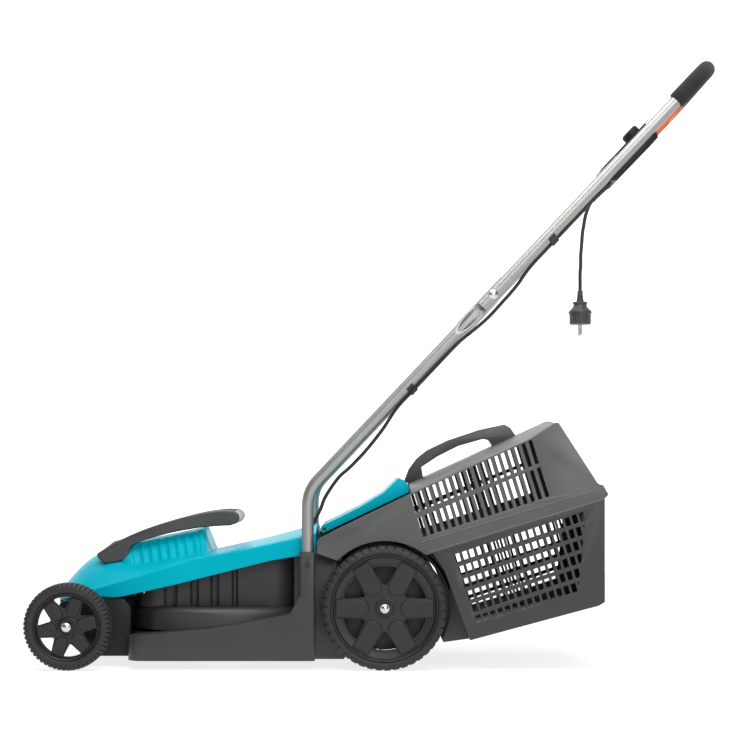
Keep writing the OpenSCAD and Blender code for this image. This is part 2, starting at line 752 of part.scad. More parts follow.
// Drawn in the plane across Y: x is across the tube, and y points down it
module tongue_outline(from, to) {
    half = tongue_w / 2;
    polygon(concat(
        arc([0, -to + half], half, 180, 360, 12),
        [[half, -from - half], [5, -from], [-5, -from], [-half, -from - half]]));
}
module lower_tube_left() { lower_tube(-1); }
module lower_tube_right() { lower_tube(1); }

module tube_screws() {
    color(steel) from_rear_axle() for (side = [-1, 1]) translate([post_x, 0, tube_screw_z])
        rotate([-90 * side, 0, 0]) {
            translate([0, 0, tube_y]) cylinder(r = 2, h = half_deck - tube_y);
            translate([0, 0, half_deck]) cylinder(r = 4, h = 1.6);
        }
}

// Carriage bolts through both tubes at the fold
bolt_head_y = tube_y + tube_r + 0.5;
wing_y = tube_y - tongue_y - tongue_t - body_gap;
bolt_end_y = wing_y - 15;
module fold_bolts() {
    color(steel) from_rear_axle() on_handle() for (side = [-1, 1]) {
        cross_rod(fold_bolt_r, side > 0 ? bolt_end_y : -bolt_head_y, side > 0 ? bolt_head_y : -bolt_end_y, 0, 0);
        translate([0, side * bolt_head_y, 0]) rotate([-90 * side, 0, 0]) intersection() {
            translate([0, 0, -7]) sphere(10.5);
            cylinder(r = 8, h = 5);
        }
    }
}
module wing_nut(side) {
    color(dark_grey) from_rear_axle() on_handle() translate([0, side * wing_y, 0]) rotate([90 * side, 0, 0])
        difference() {
            union() {
                cylinder(r = 8, h = 12);
                for (k = [90, 270]) rotate(k) translate([5, -2.5, 2]) cube([10.5, 5, 14]);
            }
            translate([0, 0, -1]) cylinder(r = fold_bolt_r + run_gap, h = 30);
        }
}
module wing_nut_left() { wing_nut(-1); }
module wing_nut_right() { wing_nut(1); }

// The upper handle: two arms and a crossbar in one bent tube
upper_bend_r = 48;
module upper_path(r, tail) {
    arm_top = upper_tube_len - upper_bend_r;
    for (side = [-1, 1]) {
        translate([0, side * tube_y, -tail]) cylinder(r = r, h = arm_top + tail);
        translate([0, side * (tube_y - upper_bend_r), arm_top]) rotate([90, 0, side > 0 ? 90 : -90])
            rotate_extrude(angle = 90) translate([upper_bend_r, 0]) circle(r);
    }
    cross_rod(r, -tube_y + upper_bend_r, tube_y - upper_bend_r, 0, upper_tube_len);
}
module upper_handle_tube() {
    color(steel) from_rear_axle() on_handle() difference() {
        upper_path(tube_r, tail_len);
        upper_path(tube_r - tube_wall, tail_len + 1);
        cross_rods(fold_bolt_r + run_gap, tube_y - tube_r - 1, tube_y + tube_r + 1, 0, 0);
    }
}
grip_start = 440;
module foam_grip() {
    color(rubber) from_rear_axle() on_handle() difference() {
        upper_path(grip_r, 0);
        translate([-50, -tube_spacing, -50]) cube([100, 2 * tube_spacing, grip_start + 50]);
        upper_path(tube_r, 0);
    }
}

// ---------- switch box, button and lever ----------
box_t0 = 272;
box_t1 = 381;
box_under = 18.5;
box_over = 12;
box_out_y = -tube_y + 3;
box_in_y = -62;
box_skin = 2.5;
button_y = -112;
button_t = 361;
button_r = 16;
button_rise = 12.5;
lever_t = 330;
lever_p = 4;

module box_profile(inset) {
    polygon([[-8 + inset, box_t0 + inset], [box_under - 6 - inset, box_t0 + inset],
        [box_under - inset, box_t0 + 8], [box_under + 1 - inset, box_t1 - 4],
        [box_under - 5 - inset, box_t1 - inset], [-8 + inset, box_t1 - inset]]);
}
module tube_saddle() {
    translate([0, -tube_y, -50]) cylinder(r = tube_r, h = 800);
}
module switch_base() {
    color(dark_grey) from_rear_axle() on_handle() {
        difference() {
            side_extrude(box_out_y, box_in_y) box_profile(0);
            side_extrude(box_out_y + 12, box_in_y - box_skin) polygon([[-20, box_t0 + box_skin],
                [box_under - box_skin, box_t0 + box_skin + 6], [box_under - box_skin, box_t1 - 7],
                [-20, box_t1 - box_skin]]);
            tube_saddle();
            lever_slot();
            cross_rod(lever_pin_r + run_gap, box_out_y + 8, box_out_y + 20, lever_p, lever_t);
            translate([relief_p, relief_y, box_t0 - 5]) cylinder(r = relief_r, h = 12);
            translate([8, cable_box_y, box_t0 - 5]) cylinder(r = cable_r, h = 12);
            // room for the button's rim when it is pushed down
            translate([-20, button_y, button_t]) rotate([0, 90, 0]) cylinder(r = button_r + 0.4, h = 18);
        }
        // post under the button's spring
        translate([2, button_y, button_t]) rotate([0, 90, 0]) cylinder(r = 8, h = box_under - 3);
    }
}
module lever_slot() {
    translate([-9, -lever_half - 8, lever_t + 12]) cube([25.5, 12, 80]);
}
module switch_cover() {
    color(deck_grey) from_rear_axle() on_handle() difference() {
        union() {
            side_extrude(box_out_y, box_in_y) polygon([[-8, box_t0], [-8, box_t1], [-9.8, box_t1],
                [-9.8, box_t0]]);
            side_extrude(box_out_y + 4, box_in_y) polygon([[-9, button_t - 30], [-9, box_t1 - 1],
                [-box_over, box_t1 - 1], [-box_over, button_t - 30]]);
            // thin plate round the button, open below at its lower end
            side_extrude(box_out_y, box_in_y) polygon([[-box_over, box_t0 + 6], [-box_over, box_t1 + 7],
                [-box_over - 1, box_t1 + 7], [-box_over - 1, box_t0 + 6]]);
        }
        tube_saddle();
        translate([-40, button_y, button_t]) rotate([0, 90, 0]) cylinder(r = button_r + 0.4, h = 60);
        lever_slot();
    }
}
// A round button that is pushed down into the box before the lever can be pulled
module lock_button() {
    color(dark_grey) from_rear_axle() on_handle() translate([0, button_y, button_t]) rotate([0, 90, 0])
        difference() {
            union() {
                translate([0, 0, -box_over - button_rise + 2]) cylinder(r = button_r, h = 13);
                translate([0, 0, -box_over - button_rise]) cylinder(r = button_r - 2, h = 4);
            }
            translate([0, 0, -box_over - 3]) cylinder(r = button_r - 3, h = 20);
        }
}
module button_spring() {
    turns = 5;
    spring_p = -9.3;
    color(steel) from_rear_axle() on_handle() translate([spring_p, button_y, button_t]) rotate([0, 90, 0])
        for (k = [0:turns - 1])
            translate([0, 0, 2.6 * k]) rotate_extrude() translate([6, 0]) circle(0.7, $fn = 24);
}
module micro_switch() {
    color(rubber) from_rear_axle() on_handle() {
        translate([4, button_y - 10, button_t - 52]) cube([11, 22, 28]);
        translate([1, button_y - 4, button_t - 40]) cube([3, 4, 6]);
    }
}

// The start lever is a bow between the arms, just below the crossbar, hinged in the switch box
lever_half = 142;
lever_cross_t = 484;
lever_bar_r = 6;
lever_pin_r = 4;
lever_thick = 5;
module start_lever() {
    color(orange) from_rear_axle() on_handle() {
        cross_rod(lever_pin_r, -lever_half - 11.5, -lever_half, lever_p, lever_t);
        cross_rod(lever_pin_r, lever_half, lever_half + 8, lever_p, lever_t);
        both_sides(lever_half - lever_thick / 2, lever_half + lever_thick / 2) lever_arm();
        cross_rod(lever_bar_r, -lever_half, lever_half, 7, lever_cross_t);
    }
}
module lever_arm() {
    polygon([[-1, lever_t - 6], [9, lever_t - 6], [14, lever_t + 30], [15, 384], [13.5, 440],
        [12.5, lever_cross_t], [1, lever_cross_t], [3, 440], [6, 392], [1, lever_t + 20]]);
}
// Small bearing clipped round the right-hand tube for the lever's far arm
module lever_bearing() {
    color(dark_grey) from_rear_axle() on_handle() difference() {
        union() {
            translate([0, tube_y, lever_t - 10]) cylinder(r = tube_r + 2.5, h = 20);
            translate([-4, lever_half + 3, lever_t - 10]) cube([16, 14, 20]);
        }
        translate([0, tube_y, 0]) cylinder(r = tube_r, h = 800);
        cross_rod(lever_pin_r + run_gap, 0, lever_half + 8.5, lever_p, lever_t);
    }
}

// ---------- cables ----------
relief_y = -132;
relief_p = 12;
relief_r = 4.5;
relief_len = 40;
cable_box_y = -148;
lead_r = 3;
cable_r = 3;

// A tapered sleeve from the box's lower end
module strain_relief() {
    color(rubber) from_rear_axle() on_handle() translate([relief_p, relief_y, box_t0 + 6]) rotate([0, 180, 0])
        difference() {
            union() {
                cylinder(r = relief_r, h = 8);
                translate([0, 0, 6]) cylinder(r1 = 6.3, r2 = 3.8, h = relief_len);
            }
            translate([0, 0, 20]) cylinder(r = lead_r, h = 60);
        }
}

// The short lead hangs from the sleeve
lead_y = -132;
lead_route = [for (q = [[359.5, 792], [352.5, 785], [346.5, 778], [341.5, 770], [337.5, 760], [334.5, 749],
    [332.5, 737], [330.5, 725], [329.5, 712], [328.5, 699], [327.5, 686], [327.5, 672], [326.5, 658],
    [326.5, 643], [326.5, 628]]) [q[0], lead_y, q[1]]];
plug_x = 326.5;
plug_top_z = 628;

module plug_lead() {
    color(rubber) from_rear_axle() swept_tube(lead_route, lead_r, 8);
}
// A two-pin plug that hangs pins down
module plug_body() {
    color(rubber) from_rear_axle() translate([plug_x, lead_y, plug_top_z]) rotate([180, 0, 0]) difference() {
        union() {
            cylinder(r1 = 4.6, r2 = 6, h = 19);
            translate([0, 0, 18.5]) cylinder(r1 = 11, r2 = 18, h = 12);
            translate([0, 0, 30]) cylinder(r = 18, h = 26);
            translate([0, 0, 34]) cylinder(r = 19.5, h = 4);
        }
        for (side = [-1, 1]) translate([0, side * pin_spacing / 2, 50]) cylinder(r = pin_shank_r, h = 20);
    }
}
pin_spacing = 19;
pin_r = 2.4;
pin_len = 19;
// Each pin narrows just below the plug's face and goes on into the body
pin_shank_r = 1.9;
pin_neck = 0.4;
module plug_pins() {
    color(steel) from_rear_axle() translate([plug_x, lead_y, plug_top_z - 56 - pin_len]) for (side = [-1, 1])
        translate([0, side * pin_spacing / 2, 0]) {
            translate([0, 0, pin_r]) cylinder(r = pin_r, h = pin_len - pin_r - pin_neck);
            translate([0, 0, pin_r]) cylinder(r = pin_shank_r, h = pin_len - pin_r + 6);
            intersection() {
                translate([0, 0, pin_r]) sphere(pin_r);
                translate([0, 0, -1]) cylinder(r = pin_r, h = pin_r + 1);
            }
        }
}

// The motor's cable runs along the left tube, with slack at the fold. [underside, y, along the handle]
function from_handle(q) = [pivot_x + q[0] * along[1] + q[2] * along[0], q[1],
    pivot_z - q[0] * along[0] + q[2] * along[1]];
cable_upper_points = [[8, -148, 278], [8, -148, 268], [11, -154, 250], [12.5, -160, 230], [12.5, -160, 180],
    [12.5, -160, 135], [12.5, -160, 90], [14, -156, 66], [17.5, -149, 44], [19, -147, 22],
    [19.5, -147, 0.4]];
cable_lower_points = [[19.5, -147, -0.4], [20, -147, -20], [19, -147, -42], [16, -150, -68], [13, -157, -92],
    [12.5, -160, -120], [12.5, -160, -160], [12.5, -160, -205], [13, -159, -245], [20, -154, -285],
    [24, -152, -330], [24, -151, -368], [22, -151, -395]];
cable_end_points = [[-98, -151, 285], [-105.5, -151, 266], [-114, -150, 249], [-122, -147, 233],
    [-126, -143, 214]];

module motor_cable_upper() {
    color(rubber) from_rear_axle() swept_tube(smooth_route([for (q = cable_upper_points) from_handle(q)], 2),
        cable_r, 8);
}
module motor_cable_lower() {
    color(rubber) from_rear_axle() swept_tube(smooth_route(concat(
        [for (q = cable_lower_points) from_handle(q)], cable_end_points), 2), cable_r, 8);
}
clip_len = 14;
module cable_clip(t) {
    on_handle() translate([0, 0, t - clip_len / 2]) difference() {
        union() {
            translate([0, -tube_y, 0]) cylinder(r = tube_r + 2.2, h = clip_len);
            translate([12.5, -160, 0]) cylinder(r = cable_r + 2.2, h = clip_len);
            translate([4, -164, 0]) cube([10, 8, clip_len]);
        }
        translate([0, -tube_y, -1]) cylinder(r = tube_r, h = clip_len + 2);
        translate([12.5, -160, -1]) cylinder(r = cable_r, h = clip_len + 2);
    }
}
module cable_clip_upper() {
    color(dark_grey) from_rear_axle() cable_clip(135);
}
module cable_clips_lower() {
    color(dark_grey) from_rear_axle() cable_clip(-205);
}

// ---------- rear flap ----------
flap_half = 146;
module rear_flap() {
    color(turquoise) from_rear_axle() difference() {
        side_extrude(-flap_half, flap_half) polygon(concat(
            arc([hinge_x, hinge_z], 6.5, 260, 110, 8),
            [[-67, 254.8], [-43, 266.4], [-2, 290.8], [24, 315.9], [33, 312], [39, 304.6], [41, 292.8]]));
        // hollow from below
        side_extrude(-flap_half + 3, flap_half - 3) polygon([[-88, 228], [-66, 250], [-42, 262], [0, 287],
            [24, 311], [31, 307], [35, 296], [36, 288]]);
        both_sides(lug_in - 0.6, lug_out + 0.6) polygon([[hinge_x - 10, 215], [hinge_x - 10, 242],
            [hinge_x + 10, 242], [hinge_x + 10, 215]]);
        // notch in front of the grass box's handle
        side_extrude(-handle_half - 3, handle_half + 3) polygon([[31, 280], [31, 330], [60, 330], [60, 280]]);
        cross_rod(hinge_r + run_gap, -flap_half - 1, flap_half + 1, hinge_x, hinge_z);
    }
}
module flap_hinge_pin() {
    color(steel) from_rear_axle() cross_rod(hinge_r, -flap_half + 1, flap_half - 1, hinge_x, hinge_z);
}

// ---------- grass box ----------
// Outline of the whole box from the side; the wheel arch is an arc about the rear axle
box_front_x = -111;
box_seam = [[74, 194], [362, 281]];
lid_start = [-84, 231];
seam_slope = (box_seam[1][1] - box_seam[0][1]) / (box_seam[1][0] - box_seam[0][0]);
function seam_z(x) = box_seam[0][1] + (x - box_seam[0][0]) * seam_slope;
lid_crown = 15;
lid_slope = 24.3;
// The lid's top starts behind the flap, at this place on its side edge
lid_top_start = [42.5, 290.5];
function lid_top_z(x) = lid_top_start[1] + lid_crown + (x - lid_top_start[0]) * tan(lid_slope);

function lid_outline(inset) = concat(
    [[box_front_x + inset, 192 + inset], [box_front_x + inset, 214 - inset], [-84 + inset, 229 - inset],
     [42.5, 290.5 - inset], [242, 382 - inset], [281, 407 - inset], [286 - inset, 407 - inset],
     [350 - inset, 308], [362 - inset, 300], [362 - inset, seam_z(362)]],
    arc([0, rear_r], arch_r + inset, 52, 135, 24));
// The part of the top that is crowned across the machine
function crown_outline(inset) = [[lid_top_start[0] + inset, 270], [lid_top_start[0] + inset, 330],
    [281 - inset, lid_top_z(281) + 10], [281 - inset, lid_top_z(281) - inset], [286 - inset, 407 - inset],
    [286 - inset, 370]];
function basket_outline(inset) = concat(
    [[362 - inset, seam_z(362)], [362 - inset, 112 + inset], [352, 106 + inset], [322, 98 + inset],
     [140, 49 + inset], [98 + inset * 0.5, 43 + inset]],
    arc([0, rear_r], arch_r + inset, -30, 52, 24));

// The lid's top is crowned: this solid is a long round bar under the lid's slope
crown_drop = lid_crown * cos(lid_slope);
crown_r = (half_box * half_box + crown_drop * crown_drop) / (2 * crown_drop);
module crown(inset) {
    translate([lid_top_start[0], 0, lid_top_start[1] + lid_crown]) rotate([0, -lid_slope, 0]) rotate([0, 90, 0])
        translate([crown_r, 0, -400]) cylinder(r = crown_r - inset, h = 1000);
}
module lid_body(inset) {
    side_extrude(-half_box + inset, half_box - inset) polygon(lid_outline(inset));
    intersection() {
        side_extrude(-half_box + inset, half_box - inset) polygon(crown_outline(inset));
        crown(inset);
    }
}

module box_lid() {
    color(lid_grey) from_rear_axle() {
        difference() {
            lid_body(0);
            lid_body(box_wall);
            // open below the seam, where the basket begins
            side_extrude(-half_box + box_wall, half_box - box_wall) polygon([[80, 190], [90, 205],
                [359, 286], [359, 270]]);
            // room for the deck's chute
            side_extrude(-chute_room, chute_room) polygon([[box_front_x - 1, 150], [box_front_x - 1, 226],
                [-90, 226], [-60, 240], [-56, 100], [-80, 120]]);
            lid_slots();
            // holes for the carrying handle's clips
            for (x = handle_feet) translate([x, 0, 0]) cylinder(r = 4, h = 500);
        }
        // the rim round the seam stands proud of the sides
        lid_rim();
    }
}
chute_room = 147.5;
handle_feet = [58, 196];
module lid_rim() {
    difference() {
        side_extrude(-half_box, half_box) polygon([[76, 197], [364, 284], [368, 289], [359, 305], [350, 305],
            [350, 298], [62, 211]]);
        side_extrude(-half_box + box_wall, half_box - box_wall) polygon([[50, 180], [359.5, 273],
            [359.5, 297], [340, 310], [40, 220]]);
    }
}

// Slanted slots in both sides of the lid, in two rows with a bar between them
lid_slot_count = 18;
lid_slot_pitch = 11.4;
lid_slot_w = 6.2;
grille_lean = 0.31;
module slanted_slot(x, z_top, z_bottom, w) {
    lean = grille_lean * (z_top - z_bottom);
    polygon([[x, z_top], [x + w, z_top + w * 0.4], [x + w + lean, z_bottom + w * 0.4], [x + lean, z_bottom]]);
}
module lid_slots() {
    both_sides(half_box - box_wall - 2, half_box + 1) for (k = [0:lid_slot_count - 1]) {
        f = k / (lid_slot_count - 1);
        x = 42 + lid_slot_pitch * k;
        top = 288.5 + 88.5 * f;
        bar_top = 259 + 79 * f;
        bar = 9 - 3 * f;
        bottom = 219 + 64.5 * f;
        slanted_slot(x, top, bar_top, lid_slot_w);
        slanted_slot(x + grille_lean * (top - bar_top + bar), bar_top - bar, bottom, lid_slot_w);
    }
}

basket_rows = 6;
basket_columns = 18;
module basket_holes() {
    both_sides(half_box - box_wall - 2, half_box + 1) intersection() {
        for (row = [0:basket_rows - 1]) for (k = [0:basket_columns - 1])
            translate([114 + 12.05 * k + 6.9 * row, 190 + 4 * k - 20.2 * row])
                polygon([[0, 0], [8, 2.9], [12.2, -11.2], [4.2, -14.1]]);
        polygon([[100, 215], [334, 290], [326, 200], [318, 130], [290, 118], [150, 78]]);
    }
}

side_step = [[77, 195.5], [99, 163], [140, 50]];
module box_basket() {
    color(deck_grey) from_rear_axle() difference() {
        intersection() {
            side_extrude(-half_box, half_box) polygon(basket_outline(0));
            basket_width(0);
        }
        intersection() {
            side_extrude(-half_box, half_box) polygon(basket_outline(box_wall));
            basket_width(box_wall);
        }
        // open at the top
        side_extrude(-half_box + box_wall, half_box - box_wall) polygon([[82, 194], [359, 278],
            [359, 300], [60, 210]]);
        basket_holes();
    }
}
// The basket is wide behind the wheels and narrow between them
narrow_half = 146;
module basket_width(inset) {
    side_extrude(-narrow_half + inset, narrow_half - inset) polygon([[0, 0], [400, 0], [400, 400], [0, 400]]);
    side_extrude(-half_box + inset, half_box - inset) polygon([
        [side_step[0][0] + inset, side_step[0][1] + 20], side_step[0] + [inset, 0], side_step[1] + [inset, 0],
        side_step[2] + [inset, 0], [400, 0], [400, 400]]);
}

// Carrying handle on the middle of the lid
handle_half = 13;
module box_handle() {
    color(dark_grey) from_rear_axle() {
        side_extrude(-handle_half, handle_half) polygon([[36, 308], [36, 312], [43, 330], [56, 348], [74.5, 363],
            [111, 380.5], [165.6, 398.7], [209, 408], [219, 402], [228, lid_top_z(228)], [188, lid_top_z(188)],
            [181, 381.3], [173, 383], [129, 370.4], [92.5, 352], [65, 333.7], [68, lid_top_z(68)],
            [lid_top_start[0], lid_top_z(lid_top_start[0])]]);
        for (x = handle_feet) translate([x, 0, lid_top_z(x) - 9]) cylinder(r = 3.9, h = 12);
    }
}

// Two clips hold the lid down on the basket
module box_clips() {
    color(dark_grey) from_rear_axle() both_sides(half_box - box_wall - 3, half_box - box_wall) {
        translate([120, seam_z(120)]) polygon([[-8, -14], [8, -10], [8, 12], [-8, 8]]);
        translate([300, seam_z(300)]) polygon([[-8, -14], [8, -10], [8, 12], [-8, 8]]);
    }
}

deck_housing();
front_nose();
motor_tower();
motor_cover();
carry_handle();
cover_screws();
front_axle_bracket();
rear_axle_bracket();
front_axle();
rear_axle();
axle_nuts();
front_left_rim();
front_left_tyre();
front_right_rim();
front_right_tyre();
rear_left_rim();
rear_left_tyre();
rear_right_rim();
rear_right_tyre();
motor_can();
motor_rotor();
motor_pulley();
cooling_fan();
drive_belt();
capacitor();
spindle_bearings();
blade_spindle();
spindle_pulley();
blade_carrier();
blade();
blade_bolt();
lower_tube_left();
lower_tube_right();
tube_screws();
fold_bolts();
wing_nut_left();
wing_nut_right();
upper_handle_tube();
foam_grip();
switch_base();
switch_cover();
lock_button();
button_spring();
micro_switch();
start_lever();
lever_bearing();
strain_relief();
plug_lead();
plug_body();
plug_pins();
motor_cable_upper();
motor_cable_lower();
cable_clips_lower();
cable_clip_upper();
rear_flap();
flap_hinge_pin();
box_basket();
box_lid();
box_handle();
box_clips();
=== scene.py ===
import json
import math

import bmesh
import bpy
from mathutils import Matrix, Vector


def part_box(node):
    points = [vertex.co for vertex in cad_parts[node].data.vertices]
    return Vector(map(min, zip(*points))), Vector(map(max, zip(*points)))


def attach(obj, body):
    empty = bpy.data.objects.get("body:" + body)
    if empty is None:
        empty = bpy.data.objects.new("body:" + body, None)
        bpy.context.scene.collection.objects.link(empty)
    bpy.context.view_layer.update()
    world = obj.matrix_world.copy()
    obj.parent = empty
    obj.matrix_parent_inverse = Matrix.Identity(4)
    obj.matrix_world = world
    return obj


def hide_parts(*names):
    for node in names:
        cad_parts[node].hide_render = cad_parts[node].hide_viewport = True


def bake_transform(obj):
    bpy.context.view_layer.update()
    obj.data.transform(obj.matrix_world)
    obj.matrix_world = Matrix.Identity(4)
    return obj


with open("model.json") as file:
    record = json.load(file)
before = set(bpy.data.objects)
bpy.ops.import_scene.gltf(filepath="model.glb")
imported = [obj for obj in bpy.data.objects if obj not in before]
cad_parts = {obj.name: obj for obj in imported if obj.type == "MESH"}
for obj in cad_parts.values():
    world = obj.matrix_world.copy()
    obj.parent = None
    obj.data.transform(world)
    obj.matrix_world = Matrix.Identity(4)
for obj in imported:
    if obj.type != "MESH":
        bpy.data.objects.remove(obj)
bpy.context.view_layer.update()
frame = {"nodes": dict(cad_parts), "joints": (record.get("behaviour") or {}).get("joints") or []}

MM = 0.001
nodes = frame["nodes"]
joints = {j["name"]: j for j in frame["joints"]}
axle_lo, axle_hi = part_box("rear_axle")
AXLE_X = (axle_lo.x + axle_hi.x) / 2
AXLE_Z = (axle_lo.z + axle_hi.z) / 2
PIVOT = Vector(joints["handle_fold"]["pos_m"])
HANDLE_ANGLE = math.radians(46.6)
ALONG = Vector((math.cos(HANDLE_ANGLE), 0, math.sin(HANDLE_ANGLE)))
UNDER = Vector((math.sin(HANDLE_ANGLE), 0, -math.cos(HANDLE_ANGLE)))


def at(x, y, z):
    """A point in millimetres measured from the rear axle's place, in metres in the row frame."""
    return Vector((x * MM + AXLE_X, y * MM, z * MM))


def on_handle(p, y, t):
    """A point on the handle: p towards its underside, t up the tube from the fold bolt, in millimetres."""
    q = PIVOT + UNDER * (p * MM) + ALONG * (t * MM)
    return Vector((q.x, y * MM, q.z))


# ---------- camera ----------
CAMERA_DISTANCE = 3.213
CAMERA_HEIGHT = 0.336
cam_data = bpy.data.cameras.new("Camera")
cam = bpy.data.objects.new("Camera", cam_data)
bpy.context.scene.collection.objects.link(cam)
cam.location = (-0.0075, -CAMERA_DISTANCE, CAMERA_HEIGHT)
cam.rotation_euler = (math.radians(90), 0, 0)
cam_data.sensor_width = 36
cam_data.lens = 90.3
cam_data.shift_y = 0.133
cam_data.clip_start, cam_data.clip_end = 0.05, 50
bpy.context.scene.camera = cam


# ---------- materials ----------
def shader(name, base, rough, metallic=0.0, specular=0.5, grain=(900.0, 0.05), vary=0.12, vary_scale=14.0,
           rough_vary=0.08, sheen=0.0):
    """A plastic, metal or rubber: mottled colour, uneven roughness and a fine surface grain.

    grain is the fine bump's scale and strength; vary and rough_vary are how far colour and roughness stray.
    """
    m = bpy.data.materials.new(name + "_look")
    m.use_nodes = True
    tree = m.node_tree
    bsdf = tree.nodes["Principled BSDF"]
    bsdf.inputs["Metallic"].default_value = metallic
    bsdf.inputs["Specular IOR Level"].default_value = specular
    bsdf.inputs["Sheen Weight"].default_value = sheen
    coords = tree.nodes.new("ShaderNodeTexCoord")
    cloud = tree.nodes.new("ShaderNodeTexNoise")
    cloud.inputs["Scale"].default_value = vary_scale
    cloud.inputs["Detail"].default_value = 5.0
    tree.links.new(coords.outputs["Object"], cloud.inputs["Vector"])
    ramp = tree.nodes.new("ShaderNodeValToRGB")
    ramp.color_ramp.elements[0].position = 0.3
    ramp.color_ramp.elements[1].position = 0.7
    ramp.color_ramp.elements[0].color = (*[c * (1 - vary) for c in base], 1)
    ramp.color_ramp.elements[1].color = (*[min(1.0, c * (1 + vary)) for c in base], 1)
    tree.links.new(cloud.outputs["Fac"], ramp.inputs["Fac"])
    tree.links.new(ramp.outputs["Color"], bsdf.inputs["Base Color"])
    rough_map = tree.nodes.new("ShaderNodeMapRange")
    rough_map.inputs["From Min"].default_value = 0.3
    rough_map.inputs["From Max"].default_value = 0.7
    rough_map.inputs["To Min"].default_value = max(0.02, rough - rough_vary)
    rough_map.inputs["To Max"].default_value = min(1.0, rough + rough_vary)
    tree.links.new(cloud.outputs["Fac"], rough_map.inputs["Value"])
    tree.links.new(rough_map.outputs["Result"], bsdf.inputs["Roughness"])
    fine = tree.nodes.new("ShaderNodeTexNoise")
    fine.inputs["Scale"].default_value = grain[0]
    fine.inputs["Detail"].default_value = 3.0
    tree.links.new(coords.outputs["Object"], fine.inputs["Vector"])
    bump = tree.nodes.new("ShaderNodeBump")
    bump.inputs["Strength"].default_value = grain[1]
    bump.inputs["Distance"].default_value = 0.001
    tree.links.new(fine.outputs["Fac"], bump.inputs["Height"])
    tree.links.new(bump.outputs["Normal"], bsdf.inputs["Normal"])
    return m


TURQUOISE = shader("turquoise_plastic", (0.0, 0.385, 0.49), 0.30, specular=0.05, grain=(700, 0.02),
                   vary=0.03, rough_vary=0.04)
DECK = shader("deck_plastic", (0.038, 0.038, 0.039), 0.40, specular=0.42, grain=(1400, 0.14), vary=0.08)
HANDLE_GREY = shader("handle_grey", (0.044, 0.043, 0.043), 0.36, specular=0.6, grain=(1400, 0.10),
                     vary=0.08)
LID = shader("lid_plastic", (0.072, 0.072, 0.073), 0.40, specular=0.6, grain=(1400, 0.12), vary=0.08)
# on the front nose this near-black is painted shade; on the other parts that use it, it is their own dark
# colour
DARK_AND_SHADE = shader("dark_plastic", (0.012, 0.012, 0.0125), 0.42, specular=0.22, grain=(1400, 0.12), vary=0.10)
BLACK = shader("black_plastic", (0.012, 0.012, 0.0125), 0.42, grain=(1400, 0.12), vary=0.15)
TYRE = shader("tyre_rubber", (0.016, 0.016, 0.0165), 0.62, grain=(1100, 0.30), vary=0.18)
FOAM = shader("foam", (0.022, 0.022, 0.023), 0.92, grain=(1500, 0.65), vary=0.22, vary_scale=220.0,
              specular=0.25, sheen=0.12)
CABLE = shader("cable_rubber", (0.014, 0.014, 0.015), 0.46, grain=(900, 0.10), vary=0.15)
PLUG = shader("plug_rubber", (0.034, 0.034, 0.035), 0.36, grain=(1500, 0.22), vary=0.15)
ORANGE = shader("orange_plastic", (0.93, 0.155, 0.008), 0.30, grain=(700, 0.04), vary=0.05)
TUBE = shader("tube_steel", (0.37, 0.37, 0.36), 0.42, metallic=0.9, grain=(500, 0.008), vary=0.02,
              vary_scale=9.0, rough_vary=0.01)
STEEL = shader("bright_steel", (0.66, 0.66, 0.67), 0.24, metallic=1.0, grain=(600, 0.10), vary=0.08,
               vary_scale=90.0)
BLADE = shader("blade_steel", (0.42, 0.42, 0.43), 0.38, metallic=1.0, grain=(300, 0.25), vary=0.15,
               vary_scale=50.0)
COPPER = shader("copper", (0.62, 0.28, 0.12), 0.35, metallic=1.0, grain=(800, 0.3), vary=0.12)
CREAM = shader("cream_plastic", (0.62, 0.56, 0.40), 0.5, grain=(900, 0.1))
BRASS = shader("pin_brass", (0.72, 0.70, 0.62), 0.22, metallic=1.0, grain=(600, 0.05), vary=0.05)


# ---------- mesh helpers ----------
def link(obj, material, body, nodes_for=()):
    """Gives a finished piece its material and body, and hides the CAD nodes it stands for."""
    obj.data.materials.clear()
    obj.data.materials.append(material)
    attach(obj, body)
    if nodes_for:
        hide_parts(*nodes_for)
    return obj


def new_object(name, mesh):
    obj = bpy.data.objects.new(name, mesh)
    bpy.context.scene.collection.objects.link(obj)
    return obj


def smooth_mesh(mesh, angle=35):
    mesh.shade_smooth()
    mesh.set_sharp_from_angle(angle=math.radians(angle))
    return mesh


def mesh_from(name, points, faces, angle=35):
    mesh = bpy.data.meshes.new(name)
    mesh.from_pydata([tuple(p) for p in points], [], faces)
    mesh.validate()
    fix_normals(mesh)
    smooth_mesh(mesh, angle)
    return new_object(name, mesh)


def fix_normals(mesh):
    bm = bmesh.new()
    bm.from_mesh(mesh)
    bmesh.ops.recalc_face_normals(bm, faces=bm.faces)
    bm.to_mesh(mesh)
    bm.free()


def settle(obj, angle=35):
    """Applies an object's modifiers to its mesh."""
    graph = bpy.context.evaluated_depsgraph_get()
    mesh = bpy.data.meshes.new_from_object(obj.evaluated_get(graph))
    obj.modifiers.clear()
    if obj.type == "MESH":
        obj.data = mesh
        smooth_mesh(mesh, angle)
        return obj
    name = obj.name
    bpy.data.objects.remove(obj)
    smooth_mesh(mesh, angle)
    return new_object(name, mesh)


def bevel(obj, width, segments=2, limit=32, angle=35):
    mod = obj.modifiers.new("bevel", "BEVEL")
    mod.width = width
    mod.segments = segments
    mod.limit_method = "ANGLE"
    mod.angle_limit = math.radians(limit)
    mod.use_clamp_overlap = True
    return settle(obj, angle)


